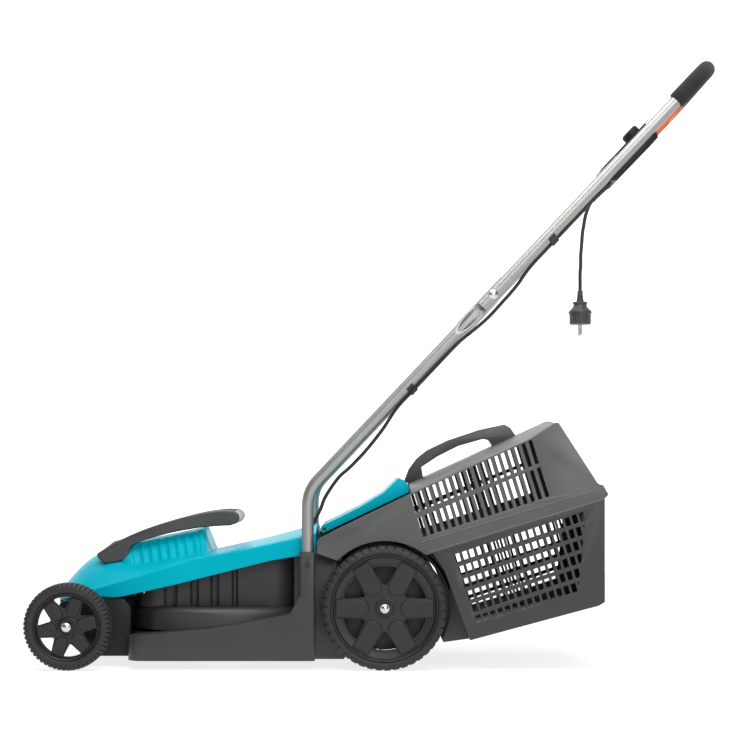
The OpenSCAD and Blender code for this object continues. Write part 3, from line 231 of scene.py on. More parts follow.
def softened(node, width=0.0008, segments=2):
    """A copy of a CAD node's shape with its sharp edges rounded."""
    bm = bmesh.new()
    bm.from_mesh(nodes[node].data)
    bmesh.ops.remove_doubles(bm, verts=bm.verts, dist=2e-6)
    bmesh.ops.dissolve_limit(bm, angle_limit=math.radians(1.0), verts=bm.verts, edges=bm.edges)
    mesh = bpy.data.meshes.new(node + "_shell")
    bm.to_mesh(mesh)
    bm.free()
    mesh.materials.clear()
    return bevel(new_object(node + "_shell", mesh), width, segments)


def plate(name, outline, holes, y_mid, thick, round_r=0.0006, segments=2):
    """A flat plate across Y with holes and rounded edges. outline and holes are X-Z points in mm."""
    curve = bpy.data.curves.new(name, "CURVE")
    curve.dimensions = "2D"
    curve.fill_mode = "BOTH"
    curve.extrude = thick / 2 - round_r
    curve.bevel_depth = round_r
    curve.bevel_resolution = segments
    curve.offset = -round_r
    for ring in [outline, *holes]:
        spline = curve.splines.new("POLY")
        spline.points.add(len(ring) - 1)
        for point, q in zip(spline.points, ring):
            p = at(q[0], 0, q[1])
            point.co = (p.x, p.z, 0, 1)
        spline.use_cyclic_u = True
    obj = bpy.data.objects.new(name, curve)
    bpy.context.scene.collection.objects.link(obj)
    obj = settle(obj)
    obj.data.transform(Matrix.Translation((0, y_mid, 0)) @ Matrix.Rotation(math.radians(90), 4, "X"))
    fix_normals(obj.data)
    smooth_mesh(obj.data, 40)
    return obj


def slab(name, outline, y_mid, thick, round_r, segments=3):
    """A solid plate across Y with rounded rims, from X-Z points in mm."""
    n = len(outline)
    points = [at(x, y, z) for y in (y_mid - thick / 2, y_mid + thick / 2) for x, z in outline]
    faces = [tuple(range(n)), tuple(range(2 * n - 1, n - 1, -1))]
    faces += [(k, (k + 1) % n, n + (k + 1) % n, n + k) for k in range(n)]
    return bevel(mesh_from(name, points, faces), round_r * MM, segments, 50)


def rounded(points, r, steps=5):
    """The closed outline with each corner rounded to radius r (or the radius given as a third number)."""
    out = []
    n = len(points)
    for i in range(n):
        p0, p1, p2 = (Vector(points[(i + k) % n][:2]) for k in (-1, 0, 1))
        want = points[i][2] if len(points[i]) > 2 else r
        a, b = (p0 - p1), (p2 - p1)
        la, lb = a.length, b.length
        a, b = a / la, b / lb
        turn = math.acos(max(-1, min(1, a.dot(b))))
        if want <= 0 or turn > math.radians(176):
            out.append(tuple(p1))
            continue
        back = min(want / math.tan(turn / 2), 0.48 * la, 0.48 * lb)
        radius = back * math.tan(turn / 2)
        centre = p1 + (a + b).normalized() * (radius / math.sin(turn / 2))
        s, e = p1 + a * back - centre, p1 + b * back - centre
        sweep = s.angle_signed(e) if s.length * e.length > 1e-12 else 0
        for k in range(steps + 1):
            turned = Matrix.Rotation(-sweep * k / steps, 2) @ s
            out.append(tuple(centre + turned))
    return out


def revolve(name, profile, x, z, steps=96, side=1, angle=35):
    """Turns a closed (r, y) profile in mm round the line across the machine at x, z."""
    points, faces = [], []
    m = len(profile)
    for i in range(steps):
        a = 2 * math.pi * i / steps
        for r, y in profile:
            points.append(at(x + r * math.cos(a), side * y, z + r * math.sin(a)))
    for i in range(steps):
        j = (i + 1) % steps
        for k in range(m):
            l = (k + 1) % m
            faces.append((i * m + k, i * m + l, j * m + l, j * m + k))
    return mesh_from(name, points, faces, angle)


def sweep(name, route, radius, sides=16, radii=None):
    """A round tube along points in metres; radii may give one radius for each point."""
    points, faces = [], []
    n = len(route)
    side = None
    for i, p in enumerate(route):
        d = (route[min(i + 1, n - 1)] - route[max(i - 1, 0)]).normalized()
        if side is None:
            side = d.cross(Vector((0, 1, 0)) if abs(d.y) < 0.9 else Vector((1, 0, 0))).normalized()
        side = (side - d * side.dot(d)).normalized()
        up = d.cross(side)
        r = radii[i] if radii else radius
        for k in range(sides):
            a = 2 * math.pi * k / sides
            points.append(p + (side * math.cos(a) + up * math.sin(a)) * r)
    for i in range(n - 1):
        for k in range(sides):
            l = (k + 1) % sides
            faces.append((i * sides + k, i * sides + l, (i + 1) * sides + l, (i + 1) * sides + k))
    faces.append(tuple(range(sides)))
    faces.append(tuple((n - 1) * sides + k for k in range(sides)))
    return mesh_from(name, points, faces, 50)


def catmull(points, steps):
    """A smooth line through the points."""
    out = []
    n = len(points) - 1
    for i in range(n):
        a, b, c, d = (points[max(0, min(n, i + k))] for k in (-1, 0, 1, 2))
        for k in range(steps):
            t = k / steps
            out.append(0.5 * (2 * b + (c - a) * t + (2 * a - 5 * b + 4 * c - d) * t * t
                              + (3 * b - a - 3 * c + d) * t ** 3))
    return out + [points[-1]]


def joined(name, objs):
    """One mesh object out of several."""
    bm = bmesh.new()
    for o in objs:
        bm.from_mesh(o.data)
        bpy.data.objects.remove(o)
    mesh = bpy.data.meshes.new(name)
    bm.to_mesh(mesh)
    bm.free()
    smooth_mesh(mesh)
    return new_object(name, mesh)


def fused(obj, voxel, smoothing=6, angle=60):
    """Melts overlapping bodies into one moulded skin."""
    mod = obj.modifiers.new("remesh", "REMESH")
    mod.mode = "VOXEL"
    mod.voxel_size = voxel
    relax = obj.modifiers.new("relax", "SMOOTH")
    relax.factor = 0.5
    relax.iterations = smoothing
    return settle(obj, angle)


def table(x, rows):
    """Straight-line lookup of x in [(x, value), ...]."""
    if x <= rows[0][0]:
        return rows[0][1]
    for (x0, v0), (x1, v1) in zip(rows, rows[1:]):
        if x <= x1:
            return v0 + (v1 - v0) * (x - x0) / (x1 - x0)
    return rows[-1][1]


# ---------- cables ----------
CABLE_R = 0.003
LEAD_Y = -132
lead_points = [at(x, LEAD_Y, z) for x, z in (
    (359.5, 792), (352.5, 785), (346.5, 778), (341.5, 770), (337.5, 760), (334.5, 749), (332.5, 737),
    (330.5, 725), (329.5, 712), (328.5, 699), (327.5, 686), (327.5, 672), (326.5, 658), (326.5, 643),
    (326.5, 628))]
PLUG_TOP = lead_points[-1]


def plug_piece():
    """The plug hangs pins down: a ribbed boot, a waist, a flared collar and a gripped body."""
    profile = [(0.1, 0), (4.4, 0), (4.6, -1), (4.7, -3), (4.2, -3.6), (4.2, -4.4), (4.9, -5), (5.0, -7),
               (4.5, -7.6), (4.5, -8.4), (5.3, -9), (5.4, -11), (4.9, -11.6), (4.9, -12.4), (5.8, -13),
               (6.0, -17.5), (11.5, -18.5), (12.4, -19.6), (12.2, -21), (11.2, -22.5), (11.2, -25), (13, -28),
               (16, -31), (18.6, -33.5), (19.5, -35.2), (19.5, -37.5), (18.6, -38.6), (18.0, -39.4),
               (18.0, -54.5), (17.2, -56), (0.1, -56)]
    steps = 96
    points, faces = [], []
    m = len(profile)
    for i in range(steps):
        a = 2 * math.pi * i / steps
        for r, z in profile:
            # grip ribs down the body
            if -55 < z < -39 and r > 17:
                r -= 0.25 + 0.25 * math.cos(24 * a)
            points.append(PLUG_TOP + Vector((r * math.cos(a), r * math.sin(a), z)) * MM)
    for i in range(steps):
        j = (i + 1) % steps
        for k in range(m - 1):
            faces.append((i * m + k, i * m + k + 1, j * m + k + 1, j * m + k))
    body = mesh_from("plug_shell", points, faces, 30)
    clips = []
    for side in (-1, 1):
        # earth contact in its groove on each side of the body
        ring = [(15.8, -40), (18.3, -41), (18.3, -54), (15.8, -55.5)]
        pts = [PLUG_TOP + Vector((side * r, w, z)) * MM for w in (-2.2, 2.2) for r, z in ring]
        clips.append(mesh_from("contact", pts, [(0, 1, 2, 3), (7, 6, 5, 4), (0, 4, 5, 1), (1, 5, 6, 2),
                                                (2, 6, 7, 3), (3, 7, 4, 0)]))
    return body, joined("plug_contacts", clips)


plug_shell, plug_contacts = plug_piece()
link(plug_shell, PLUG, "upper_handle", ["plug_body"])
link(plug_contacts, BRASS, "upper_handle")
lead_curve = bpy.data.curves.new("lead", "CURVE")
lead_curve.dimensions = "3D"
lead_curve.bevel_depth = CABLE_R
lead_curve.bevel_resolution = 5
lead_curve.use_fill_caps = True
lead_spline = lead_curve.splines.new("POLY")
lead_route = catmull(lead_points, 3)
lead_spline.points.add(len(lead_route) - 1)
for point, p in zip(lead_spline.points, lead_route):
    point.co = (*p, 1)
lead = new_object("plug_lead_cord", lead_curve)
link(lead, CABLE, "upper_handle", ["plug_lead"])

# The motor's cable is one piece from the switch box to the deck, with a jog in its path at the fold
upper_cable = [(8, -148, 278), (8, -148, 268), (11, -154, 250), (12.5, -160, 230), (12.5, -160, 180),
               (12.5, -160, 135), (12.5, -160, 90), (14, -156, 66), (17.5, -149, 44), (19, -147, 22),
               (19.5, -147, 0), (20, -147, -20), (19, -147, -42), (16, -150, -68), (13, -157, -92),
               (12.5, -160, -120), (12.5, -160, -160), (12.5, -160, -205), (13, -159, -245),
               (20, -154, -285), (24, -152, -330), (24, -151, -368), (22, -151, -395)]
cable_end = [(-98, -151, 285), (-105.5, -151, 266), (-114, -150, 249), (-122, -147, 233), (-126, -143, 214)]
cable_route = catmull([on_handle(*q) for q in upper_cable] + [at(*q) for q in cable_end], 5)
motor_cable = sweep("motor_cable", cable_route, CABLE_R, 12)
motor_cable.data.materials.append(CABLE)
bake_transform(motor_cable)
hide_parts("motor_cable_upper", "motor_cable_lower")


# ---------- wheels ----------
# how far out a wheel's outer face stands from the machine's middle
OUT = 196.0


def tyre_piece(name, x, z, side, r_in, r_out, width, blocks, body):
    """A tyre with a smooth side and two staggered rows of tread blocks."""
    inner = OUT - width
    mid = OUT - width / 2
    samples = 8
    profile = [(r_in, OUT - 3.5), (r_in + 2.2, OUT - 1.6), (r_in + 5, OUT - 0.8), (r_out - 9, OUT - 0.8),
               (r_out - 6.8, OUT - 1.4), (r_out - 2.2, OUT - 4.2), (r_out - 0.5, OUT - 7), (r_out, OUT - 10),
               (r_out, mid + 2.2), (r_out - 2.6, mid + 1.2), (r_out - 2.6, mid - 1.2), (r_out, mid - 2.2),
               (r_out, inner + 10), (r_out - 0.5, inner + 7), (r_out - 2.2, inner + 4.2),
               (r_out - 6.8, inner + 1.4), (r_in + 5, inner + 0.8), (r_in, inner + 2)]
    points, faces = [], []
    m = len(profile)
    n = blocks * samples
    for i in range(n):
        a = 2 * math.pi * i / n
        for k, (r, y) in enumerate(profile):
            outer_row = y > mid
            phase = ((i + (0 if outer_row else samples // 2)) % samples) / samples
            groove = phase >= 0.70
            if groove and 4 <= k <= 15 and abs(y - mid) > 2:
                r -= 2.4 if 5 <= k <= 14 else 0.6
                y += (-1.0 if outer_row else 1.0) if k in (4, 5, 14, 15) else 0
            points.append(at(x + r * math.cos(a), side * y, z + r * math.sin(a)))
    for i in range(n):
        j = (i + 1) % n
        for k in range(m):
            l = (k + 1) % m
            faces.append((i * m + k, i * m + l, j * m + l, j * m + k))
    return link(mesh_from(name + "_tread", points, faces, 28), TYRE, body, [name])


def stadium(cx, cz, length0, length1, width, turn, steps=8):
    """Points of a rounded bar from radius length0 to length1 at the angle turn about (cx, cz)."""
    half = width / 2
    pts = []
    for k in range(steps + 1):
        a = math.pi / 2 + math.pi * k / steps
        pts.append((length0 + half + half * math.cos(a), half * math.sin(a)))
    pts += [(length1 - 2, -half), (length1, -half + 2), (length1, half - 2), (length1 - 2, half)]
    c, s = math.cos(turn), math.sin(turn)
    return [(cx + u * c - v * s, cz + u * s + v * c) for u, v in pts]


def wedge(cx, cz, r_in, r_out, pad_w, turn):
    """A window between two spokes, with rounded corners."""
    half = pad_w / 2
    edge = math.asin(half / r_out)
    lo, hi = -math.pi / 6 + edge, math.pi / 6 - edge
    pts = [(r_in, 0.0, 3)]
    for k in range(7):
        a = lo + (hi - lo) * k / 6
        pts.append((r_out * math.cos(a), r_out * math.sin(a), 4 if k in (0, 6) else 0))
    c, s = math.cos(turn), math.sin(turn)
    ring = [(cx + u * c - v * s, cz + u * s + v * c, r) for u, v, r in pts]
    return rounded(ring, 3)


def circle(cx, cz, r, steps=72):
    return [(cx + r * math.cos(2 * math.pi * k / steps), cz + r * math.sin(2 * math.pi * k / steps))
            for k in range(steps)]


def rim_piece(name, x, z, side, r_out, lip_in, win_out, win_in, pad_w, pad0, pad1, hub_r, width, first,
              body, closed=False):
    """A rim with a rounded lip, a dished disc with six windows, six raised pads and a recessed hub.

    A closed rim has a dark disc behind its windows: painted shade standing in for the shaded inside of the
    wheel.
    """
    inner = OUT - width
    first = math.radians(first)
    parts = [revolve("lip", [(r_out, OUT - 3.6), (r_out - 1.2, OUT - 2.0), (lip_in + 1.4, OUT - 2.2),
                             (lip_in, OUT - 3.6), (lip_in - 1.5, OUT - 8.5), (win_out + 1.5, OUT - 11.5),
                             (win_out, OUT - 13.5), (win_out, OUT - 22), (lip_in, OUT - 22),
                             (lip_in + 1, inner + 1), (r_out, inner + 1)], x, z, 120, side, 30)]
    windows = [wedge(x, z, win_in, win_out, pad_w, first + math.pi / 6 + math.pi / 3 * k) for k in range(6)]
    disc = circle(x, z, win_out + 3, 96)
    holes = [*windows, circle(x, z, 5.1, 32)]
    parts.append(plate("disc", disc, holes, side * (OUT - 13.5) * MM, 0.007, 0.0008))
    for k in range(6):
        ring = stadium(x, z, pad0, pad1, pad_w - 1.0, first + math.pi / 3 * k)
        parts.append(plate("pad", ring, [], side * (OUT - 10.2) * MM, 0.008, 0.0016, 3))
    parts.append(revolve("hub", [(hub_r + 3, OUT - 12), (hub_r + 2.2, OUT - 8.6), (hub_r, OUT - 8.0),
                                 (hub_r - 1, OUT - 9.5), (hub_r - 1.4, OUT - 12), (5.1, OUT - 12),
                                 (5.1, inner), (hub_r, inner), (hub_r + 1, OUT - 18)], x, z, 72, side, 30))
    if closed:
        # a dark disc on the inner side shuts the windows: painted shade for the wheel's shaded inside
        parts.append(revolve("shade_disc", [(win_out + 1, inner + 3), (win_out + 1, inner + 5), (hub_r, inner + 5),
                                     (hub_r, inner + 3)], x, z, 72, side, 30))
    return link(joined(name + "_spokes", parts), BLACK, body, [name])


FRONT = ((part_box("front_axle")[0].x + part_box("front_axle")[1].x) / 2 - AXLE_X) / MM
FRONT_Z = (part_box("front_axle")[0].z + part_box("front_axle")[1].z) / 2 / MM
REAR_Z = AXLE_Z / MM
for word, side in (("left", -1), ("right", 1)):
    tyre_piece(f"front_{word}_tyre", FRONT, FRONT_Z, side, 55.5, 72, 40, 56, f"front_{word}_wheel")
    rim_piece(f"front_{word}_rim", FRONT, FRONT_Z, side, 55.5, 52.5, 49.5, 27.5, 20.6, 17, 48.5, 14, 40, 10,
              f"front_{word}_wheel")
    tyre_piece(f"rear_{word}_tyre", 0, REAR_Z, side, 88.5, 102.5, 44, 44, f"rear_{word}_wheel")
    # the rear rims take the dark disc of painted shade behind their windows
    rim_piece(f"rear_{word}_rim", 0, REAR_Z, side, 88.5, 84.5, 69.5, 36, 31.0, 26, 80.5, 15, 44, 0,
              f"rear_{word}_wheel", True)

# ---------- cover ----------
CREST = [(-552, 128), (-540, 146), (-520, 167), (-500, 182), (-470, 189), (-430, 187), (-380, 188),
         (-300, 190.5), (-275, 195.5), (-236, 204.5), (-194, 214), (-153, 225), (-114, 236)]
CREASE = [(-552, 118), (-500, 126), (-484, 130), (-413, 151), (-310, 183), (-234, 196), (-138, 217),
          (-114, 222)]
EDGE = [(-552, 108), (-500, 118), (-446, 116), (-346, 139), (-240, 166), (-188, 179), (-138, 187),
        (-114, 190)]
HALF = [(-552, 70), (-540, 92), (-520, 108), (-490, 120), (-446, 132), (-346, 146), (-240, 150),
        (-114, 151)]


def eased(x, rows, reach=9):
    """The lookup with its corners rounded over a few millimetres."""
    weights = ((-reach, 1), (-reach / 2, 2), (0, 3), (reach / 2, 2), (reach, 1))
    return sum(table(x + d, rows) * w for d, w in weights) / 9


def cover_piece():
    steps = [-552 + 6 * k for k in range(74)]
    steps[-1] = -114
    rows = []
    across = 28
    for x in steps:
        reach = min(9, x + 552 + 0.01, -114 - x + 0.01)
        w, top, crease, low = (eased(x, r, reach) for r in (HALF, CREST, CREASE, EDGE))
        row = []
        for side in (-1, 1):
            flank = [(w - 2.4, low), (w - 0.6, low + 0.2), (w, low + 1.2), (w, low + 3), (w, crease - 3),
                     (w - 0.2, crease - 1.2), (w - 0.9, crease - 0.1), (w - 2.6, crease + 0.8)]
            row.append([(side * y, z) for y, z in flank])
        crown = []
        for k in range(1, across):
            y = -(w - 2.6) + 2 * (w - 2.6) * k / across
            crown.append((y, crease + 0.8 + (top - crease - 0.8) * (1 - (y / (w - 2.6)) ** 2)))
        ring = row[0] + crown + row[1][::-1]
        rows.append([at(x, y, z) for y, z in ring])
    m = len(rows[0])
    points = [p for r in rows for p in r]
    faces = [(i * m + k, i * m + k + 1, (i + 1) * m + k + 1, (i + 1) * m + k)
             for i in range(len(rows) - 1) for k in range(m - 1)]
    faces.append(tuple(range(m)))
    faces.append(tuple((len(rows) - 1) * m + k for k in range(m)))
    return mesh_from("cover_skin", points, faces, 40)


HUMP_TOP = [(-436, 198), (-424, 206), (-384, 214), (-340, 223), (-304, 229.5)]


def hump_piece():
    """The louvred hump: a fluted flank on each side under a smooth top."""
    up = 12
    pitch = 14.87
    rib_depth = 5.2
    rows = []
    for x in (-440 + 1.05 * k for k in range(135)):
        row = []
        for side in (-1, 1):
            flank = []
            for j in range(up + 1):
                f = j / up
                # the ribs lean forward as they rise
                px = x - 10 * f
                z_foot = 165.0 + 0.264 * (x + 404.3) - 5
                z_top = table(x - 10, HUMP_TOP) - 2
                z = z_foot + (z_top - z_foot) * f
                y = 109 - 44 * f ** 0.85
                wave = abs(math.sin(math.pi * (x + 418.5) / pitch))
                fade = min(1.0, f * 7, (1 - f) * 9 + 0.25)
                inside = max(0.0, min(1.0, (x + 424) / 8, (-304 - x) / 6))
                y -= rib_depth * (wave ** 0.75) * fade * inside
                # the flank turns in at the hump's two ends
                y -= 10 * max(0.0, (-424 - x) / 16) ** 2 + 9 * max(0.0, (x + 310) / 14) ** 2
                flank.append((px, side * y, z))
            row.append(flank)
        top = table(x - 10, HUMP_TOP)
        rises = ((-56, -0.4), (-40, 0.4), (0, 1.0), (40, 0.4), (56, -0.4))
        crown = [(x - 10, y, top + rise) for y, rise in rises]
        rows.append([at(*p) for p in row[0] + crown + row[1][::-1]])
    m = len(rows[0])
    points = [p for r in rows for p in r]
    faces = [(i * m + k, i * m + k + 1, (i + 1) * m + k + 1, (i + 1) * m + k)
             for i in range(len(rows) - 1) for k in range(m - 1)]
    # the back falls away to the cover
    last = (len(rows) - 1) * m
    extra = len(points)
    for k in range(m):
        p = points[last + k]
        points.append(Vector((p.x + 0.002, p.y * 0.985, p.z - 0.002)))
    faces += [(last + k, last + k + 1, extra + k + 1, extra + k) for k in range(m - 1)]
    foot = len(points)
    for k in range(m):
        p = points[extra + k]
        rise = max(0.0, p.z / MM - 188)
        points.append(Vector((p.x + rise * 0.42 * MM, p.y, 0.186)))
    faces += [(extra + k, extra + k + 1, foot + k + 1, foot + k) for k in range(m - 1)]
    return mesh_from("cover_hump", points, faces, 45)


link(cover_piece(), TURQUOISE, "mower", ["motor_cover"])
link(hump_piece(), TURQUOISE, "mower")


# ---------- carry handle ----------
def carry_top(x):
    return 261 - 0.00139 * (x + 258) ** 2 - 2.6 * math.exp(-((x + 365) / 60) ** 2)


def carry_under(x):
    return 234.5 - 0.00103 * (x + 252) ** 2


def carry_piece():
    arm = [(x, carry_top(x)) for x in range(-488, -262, 12)]
    arm += [(-254, 259.5, 8), (-247, 254, 6), (-245.5, 246, 4), (-252, 238, 3)]
    arm += [(x, carry_under(x)) for x in range(-262, -424, -13)]
    arm += [(-430, 199), (-434, 188), (-435, 178.5, 4), (-450, 173.5), (-475, 168.5, 6), (-489, 181, 5)]
    arm = rounded(arm, 0)
    parts = [slab("arm", arm, side * 67.5, 17, 4.5) for side in (-1, 1)]
    bar = rounded([(-272, 244), (-266, 255), (-254, 259.5), (-247, 253), (-245.5, 245), (-252, 237),
                   (-266, 236)], 6)
    parts.append(slab("bar", bar, 0, 130, 3))
    root = rounded([(-487, 184), (-480, 193), (-460, 208), (-440, 212), (-434, 206), (-436, 176),
                    (-475, 169)], 4)
    parts.append(slab("root", root, 0, 130, 3))
    return fused(joined("carry_shell", parts), 0.0014, 4)


link(carry_piece(), HANDLE_GREY, "mower", ["carry_handle"])

# ---------- deck, nose, tower ----------
link(softened("deck_housing", 0.0012), DECK, "mower", ["deck_housing"])
# the nose is drawn near-black rather than deck grey: painted shade for its shaded place low behind the front
# wheel
link(softened("front_nose", 0.0015), DARK_AND_SHADE, "mower", ["front_nose"])


TOWER_TOP = [(-424, 128), (-345, 148), (-236, 176), (-150, 196)]
FLUTES = [(-359, 11), (-319, 7.5), (-285, 7.5), (-251, 5.5)]


def tower_piece():
    """The motor's tower: four flutes and a rounded part on each side, under the cover's slope."""
    half, front, back, corner, wall, foot = 111.5, -423.5, -150.5, 50.0, 6.5, 99.0
    side = []
    x = front + corner
    while x < back - 46:
        y = half
        for mid, reach in FLUTES:
            u = abs(x - mid) / reach
            if u < 1:
                y -= 7.5 * (1 - u * u) ** 0.5
        side.append((x, y))
        x += 1.0
    # the rounded part turns in towards the back
    side += [(back - 46 * (1 - math.sin(a)), half - 24 * (1 - math.cos(a)))
             for a in (math.pi / 2 * k / 14 for k in range(15))]
    arc = [(front + corner - corner * math.sin(a), half - corner + corner * math.cos(a))
           for a in (math.pi / 2 * k / 6 for k in range(6, 0, -1))]
    ring = arc + side
    ring = ring + [(x, -y) for x, y in ring[::-1]]
    inner = [(min(max(x, front + wall), back - wall), max(-half + 14, min(half - 14, y))) for x, y in ring]
    m = len(ring)
    points, faces = [], []
    for outline in (ring, inner):
        for z_of in (lambda x: foot, lambda x: eased(x, TOWER_TOP, 4) - 0.4):
            points += [at(x, y, z_of(x)) for x, y in outline]
    for k in range(m):
        l = (k + 1) % m
        faces += [(k, l, m + l, m + k), (2 * m + l, 2 * m + k, 3 * m + k, 3 * m + l),
                  (l, k, 2 * m + k, 2 * m + l), (m + k, m + l, 3 * m + l, 3 * m + k)]
    return mesh_from("tower_skin", points, faces, 50)


def dome_piece():
    """The rounded shelf over the blade circle, which the tower stands on."""
    outer, top, foot, edge, skin = 168.0, 100.6, 62.0, 13.0, 2.5
    bend = [(math.sin(a), math.cos(a)) for a in (math.pi / 2 * k / 8 for k in range(9))]
    profile = [(outer - edge + edge * c, top - edge + edge * s) for s, c in bend]
    inside = [(r - skin, z - skin) for r, z in profile[::-1]]
    profile = [(outer, foot)] + profile + [(92, top), (92, top - skin)] + inside + [(outer - skin, foot)]
    steps = 144
    points, faces = [], []
    m = len(profile)
    for i in range(steps):
        a = 2 * math.pi * i / steps
        for r, z in profile:
            points.append(at(-270 + r * math.cos(a), r * math.sin(a), z))
    for i in range(steps):
        j = (i + 1) % steps
        faces += [(i * m + k, i * m + (k + 1) % m, j * m + (k + 1) % m, j * m + k) for k in range(m)]
    return mesh_from("deck_dome", points, faces, 40)


link(tower_piece(), DECK, "mower", ["motor_tower"])
link(dome_piece(), DECK, "mower")


# ---------- grass box ----------
link(softened("rear_flap", 0.0016, 3), TURQUOISE, "flap", ["rear_flap"])
link(softened("box_lid", 0.0009), LID, "grass_box", ["box_lid"])
link(softened("box_basket", 0.0007), DECK, "grass_box", ["box_basket"])
def arch_piece():
    """The basket's front wall, which curves round the rear wheels."""
    angles = [math.radians(14 + 4 * k) for k in range(14)]
    arc = [(114 * math.cos(a), REAR_Z + 114 * math.sin(a)) for a in angles]
    arc += [(105 * math.cos(a), REAR_Z + 105 * math.sin(a)) for a in angles[::-1]]
    return slab("basket_arch", arc, 0, 292, 0.8, 2)


def rim_beads():
    """The lid's overhanging rim: two rounded ridges along each side."""
    lo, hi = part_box("box_lid")
    reach = hi.y / MM - 0.9
    lines = [((61, 210.3), (352, 297.3)), ((74.5, 194), (360, 281))]
    parts = []
    for side in (-1, 1):
        for (x0, z0), (x1, z1) in lines:
            route = [at(x0 + (x1 - x0) * k / 12, side * reach, z0 + (z1 - z0) * k / 12) for k in range(13)]
            parts.append(sweep("bead", route, 0.0016, 10))
    return joined("lid_rim_beads", parts)


link(arch_piece(), BLACK, "grass_box")
link(rim_beads(), LID, "grass_box")
link(softened("box_handle", 0.0035, 4), HANDLE_GREY, "grass_box", ["box_handle"])

# ---------- handle fittings ----------
def underside(obj):
    """Keeps only the part of a clip below the tube's axis, where the cable lies."""
    bm = bmesh.new()
    bm.from_mesh(obj.data)
    cut = bmesh.ops.bisect_plane(bm, geom=[*bm.verts, *bm.edges, *bm.faces], dist=1e-6,
                                 plane_co=PIVOT + UNDER * 0.004, plane_no=UNDER, clear_inner=True)
    rims = [g for g in cut["geom_cut"] if isinstance(g, bmesh.types.BMEdge)]
    bmesh.ops.holes_fill(bm, edges=rims)
    bm.to_mesh(obj.data)
    bm.free()
    return obj


link(softened("switch_base", 0.0012), DARK_AND_SHADE, "upper_handle", ["switch_base"])
link(softened("switch_cover", 0.0008), DARK_AND_SHADE, "upper_handle", ["switch_cover"])
link(softened("lock_button", 0.0015, 3), DARK_AND_SHADE, "button", ["lock_button"])
link(softened("start_lever", 0.0010), ORANGE, "lever", ["start_lever"])
link(softened("lever_bearing", 0.0008), BLACK, "upper_handle", ["lever_bearing"])
for clip, body in (("cable_clip_upper", "upper_handle"), ("cable_clips_lower", "mower")):
    link(underside(softened(clip, 0.0007)), BLACK, body, [clip])
for word in ("left", "right"):
    nut = f"wing_nut_{word}"
    link(softened(nut, 0.0010), BLACK, f"{word}_wing_nut", [nut])


def grip_piece():
    """Foam sleeve round the crossbar and down both arms to their cut ends."""
    bend, top, y_out, start = 48.0, 524.0, 165.0, 440.0
    arm_end = top - bend
    half = [Vector((0, y_out, t)) for t in (start, (start + arm_end) / 2, arm_end)]
    for k in range(1, 17):
        a = math.pi / 2 * k / 16
        half.append(Vector((0, y_out - bend + bend * math.cos(a), top - bend + bend * math.sin(a))))
    half += [Vector((0, y_out - bend - 12 * k, top)) for k in range(1, 10)]
    route = half + [Vector((p.x, -p.y, p.z)) for p in half[::-1]]
    line = [on_handle(p.x, p.y, p.z) for p in route]
    d0 = (line[1] - line[0]).normalized()
    d1 = (line[-2] - line[-1]).normalized()
    line = [line[0], line[0] + d0 * 0.0015] + line[1:-1] + [line[-1] + d1 * 0.0015, line[-1]]
    radii = [0.0125] + [0.0142] * (len(line) - 2) + [0.0125]
    return sweep("grip_foam", line, 0.0142, 40, radii)


grip = link(grip_piece(), FOAM, "upper_handle", ["foam_grip"])


def relief_piece():
    """A tapered sleeve with flex slots."""
    line, radii = [], []
    for k in range(0, 47):
        t = 278 - k
        r = 4.5 if k < 7 else 6.3 - 2.4 * (k - 7) / 39
        if 14 < k < 42 and (k // 2) % 2:
            r -= 0.8
        line.append(on_handle(12, LEAD_Y, t))
        radii.append(r * MM)
    return sweep("relief_sleeve", line, 0.005, 24, radii)


link(relief_piece(), CABLE, "upper_handle", ["strain_relief"])

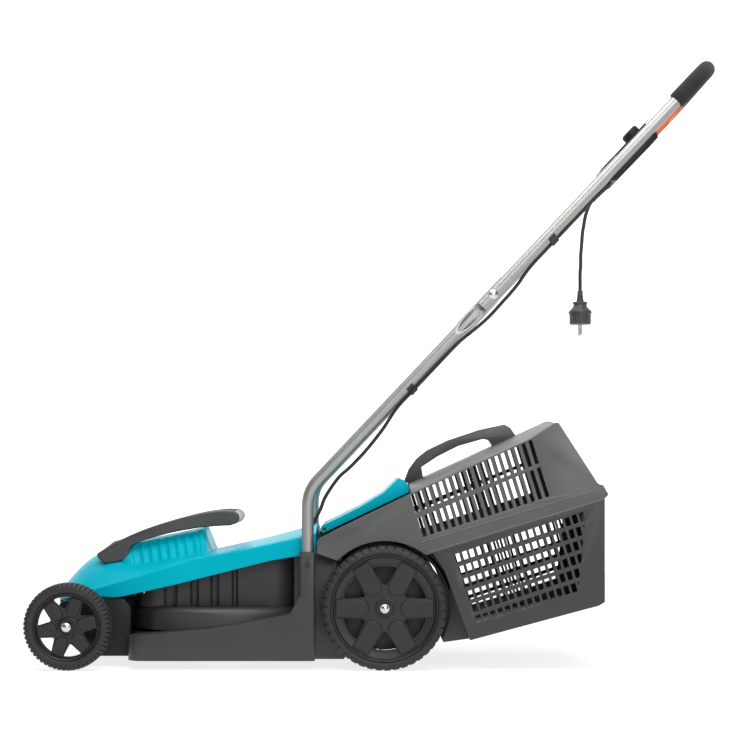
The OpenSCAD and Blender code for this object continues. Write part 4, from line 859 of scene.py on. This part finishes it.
# ---------- CAD nodes that keep their own shape ----------
KEPT = {
    TUBE: ("lower_tube_left", "lower_tube_right", "upper_handle_tube"),
    STEEL: ("cover_screws", "front_axle", "rear_axle", "axle_nuts", "motor_can", "motor_pulley",
            "spindle_bearings", "blade_spindle", "blade_bolt", "fold_bolts", "button_spring"),
    BLADE: ("blade",),
    BLACK: ("cooling_fan", "spindle_pulley", "blade_carrier", "micro_switch", "box_clips", "tube_screws",
            "flap_hinge_pin"),
    DARK_AND_SHADE: ("front_axle_bracket", "rear_axle_bracket"),
    COPPER: ("motor_rotor",),
    CREAM: ("capacitor",),
    TYRE: ("drive_belt",),
    BRASS: ("plug_pins",),
}
for material, names in KEPT.items():
    for name in names:
        nodes[name].data.materials.clear()
        nodes[name].data.materials.append(material)

# ---------- floor and light ----------
BACK_Y = 2.6


def stage_plane(name, corners, base, glow):
    """A plain pale surface with a little light of its own."""
    mesh = bpy.data.meshes.new(name)
    mesh.from_pydata(corners, [], [(0, 1, 2, 3)])
    obj = new_object(name, mesh)
    mat = bpy.data.materials.new(name + "_pale")
    mat.use_nodes = True
    bsdf = mat.node_tree.nodes["Principled BSDF"]
    bsdf.inputs["Base Color"].default_value = (base, base, base, 1)
    bsdf.inputs["Roughness"].default_value = 0.9
    bsdf.inputs["Specular IOR Level"].default_value = 0.0
    bsdf.inputs["Emission Color"].default_value = (1, 1, 1, 1)
    bsdf.inputs["Emission Strength"].default_value = glow
    mesh.materials.append(mat)


stage_plane("floor", [(-9, -9, 0), (9, -9, 0), (9, BACK_Y, 0), (-9, BACK_Y, 0)], 0.30, 0.80)
stage_plane("backdrop", [(-9, BACK_Y, 0), (9, BACK_Y, 0), (9, BACK_Y, 6), (-9, BACK_Y, 6)], 0.6, 0.95)

world = bpy.data.worlds.new("studio")
bpy.context.scene.world = world
world.use_nodes = True
world.node_tree.nodes["Background"].inputs["Color"].default_value = (1, 1, 1, 1)
world.node_tree.nodes["Background"].inputs["Strength"].default_value = 0.14


def softbox(name, place, target, size, power):
    data = bpy.data.lights.new(name, "AREA")
    data.shape = "RECTANGLE"
    data.size, data.size_y = size
    data.energy = power
    obj = bpy.data.objects.new(name, data)
    bpy.context.scene.collection.objects.link(obj)
    obj.location = place
    obj.rotation_euler = (Vector(target) - Vector(place)).to_track_quat("-Z", "Y").to_euler()


softbox("top_box", (-0.1, -0.7, 2.6), (0, 0, 0.3), (3.0, 1.8), 70)
softbox("front_box", (0.9, -3.6, 1.9), (0, 0, 0.4), (2.4, 1.8), 62)
bpy.context.scene.view_settings.view_transform = "Standard"
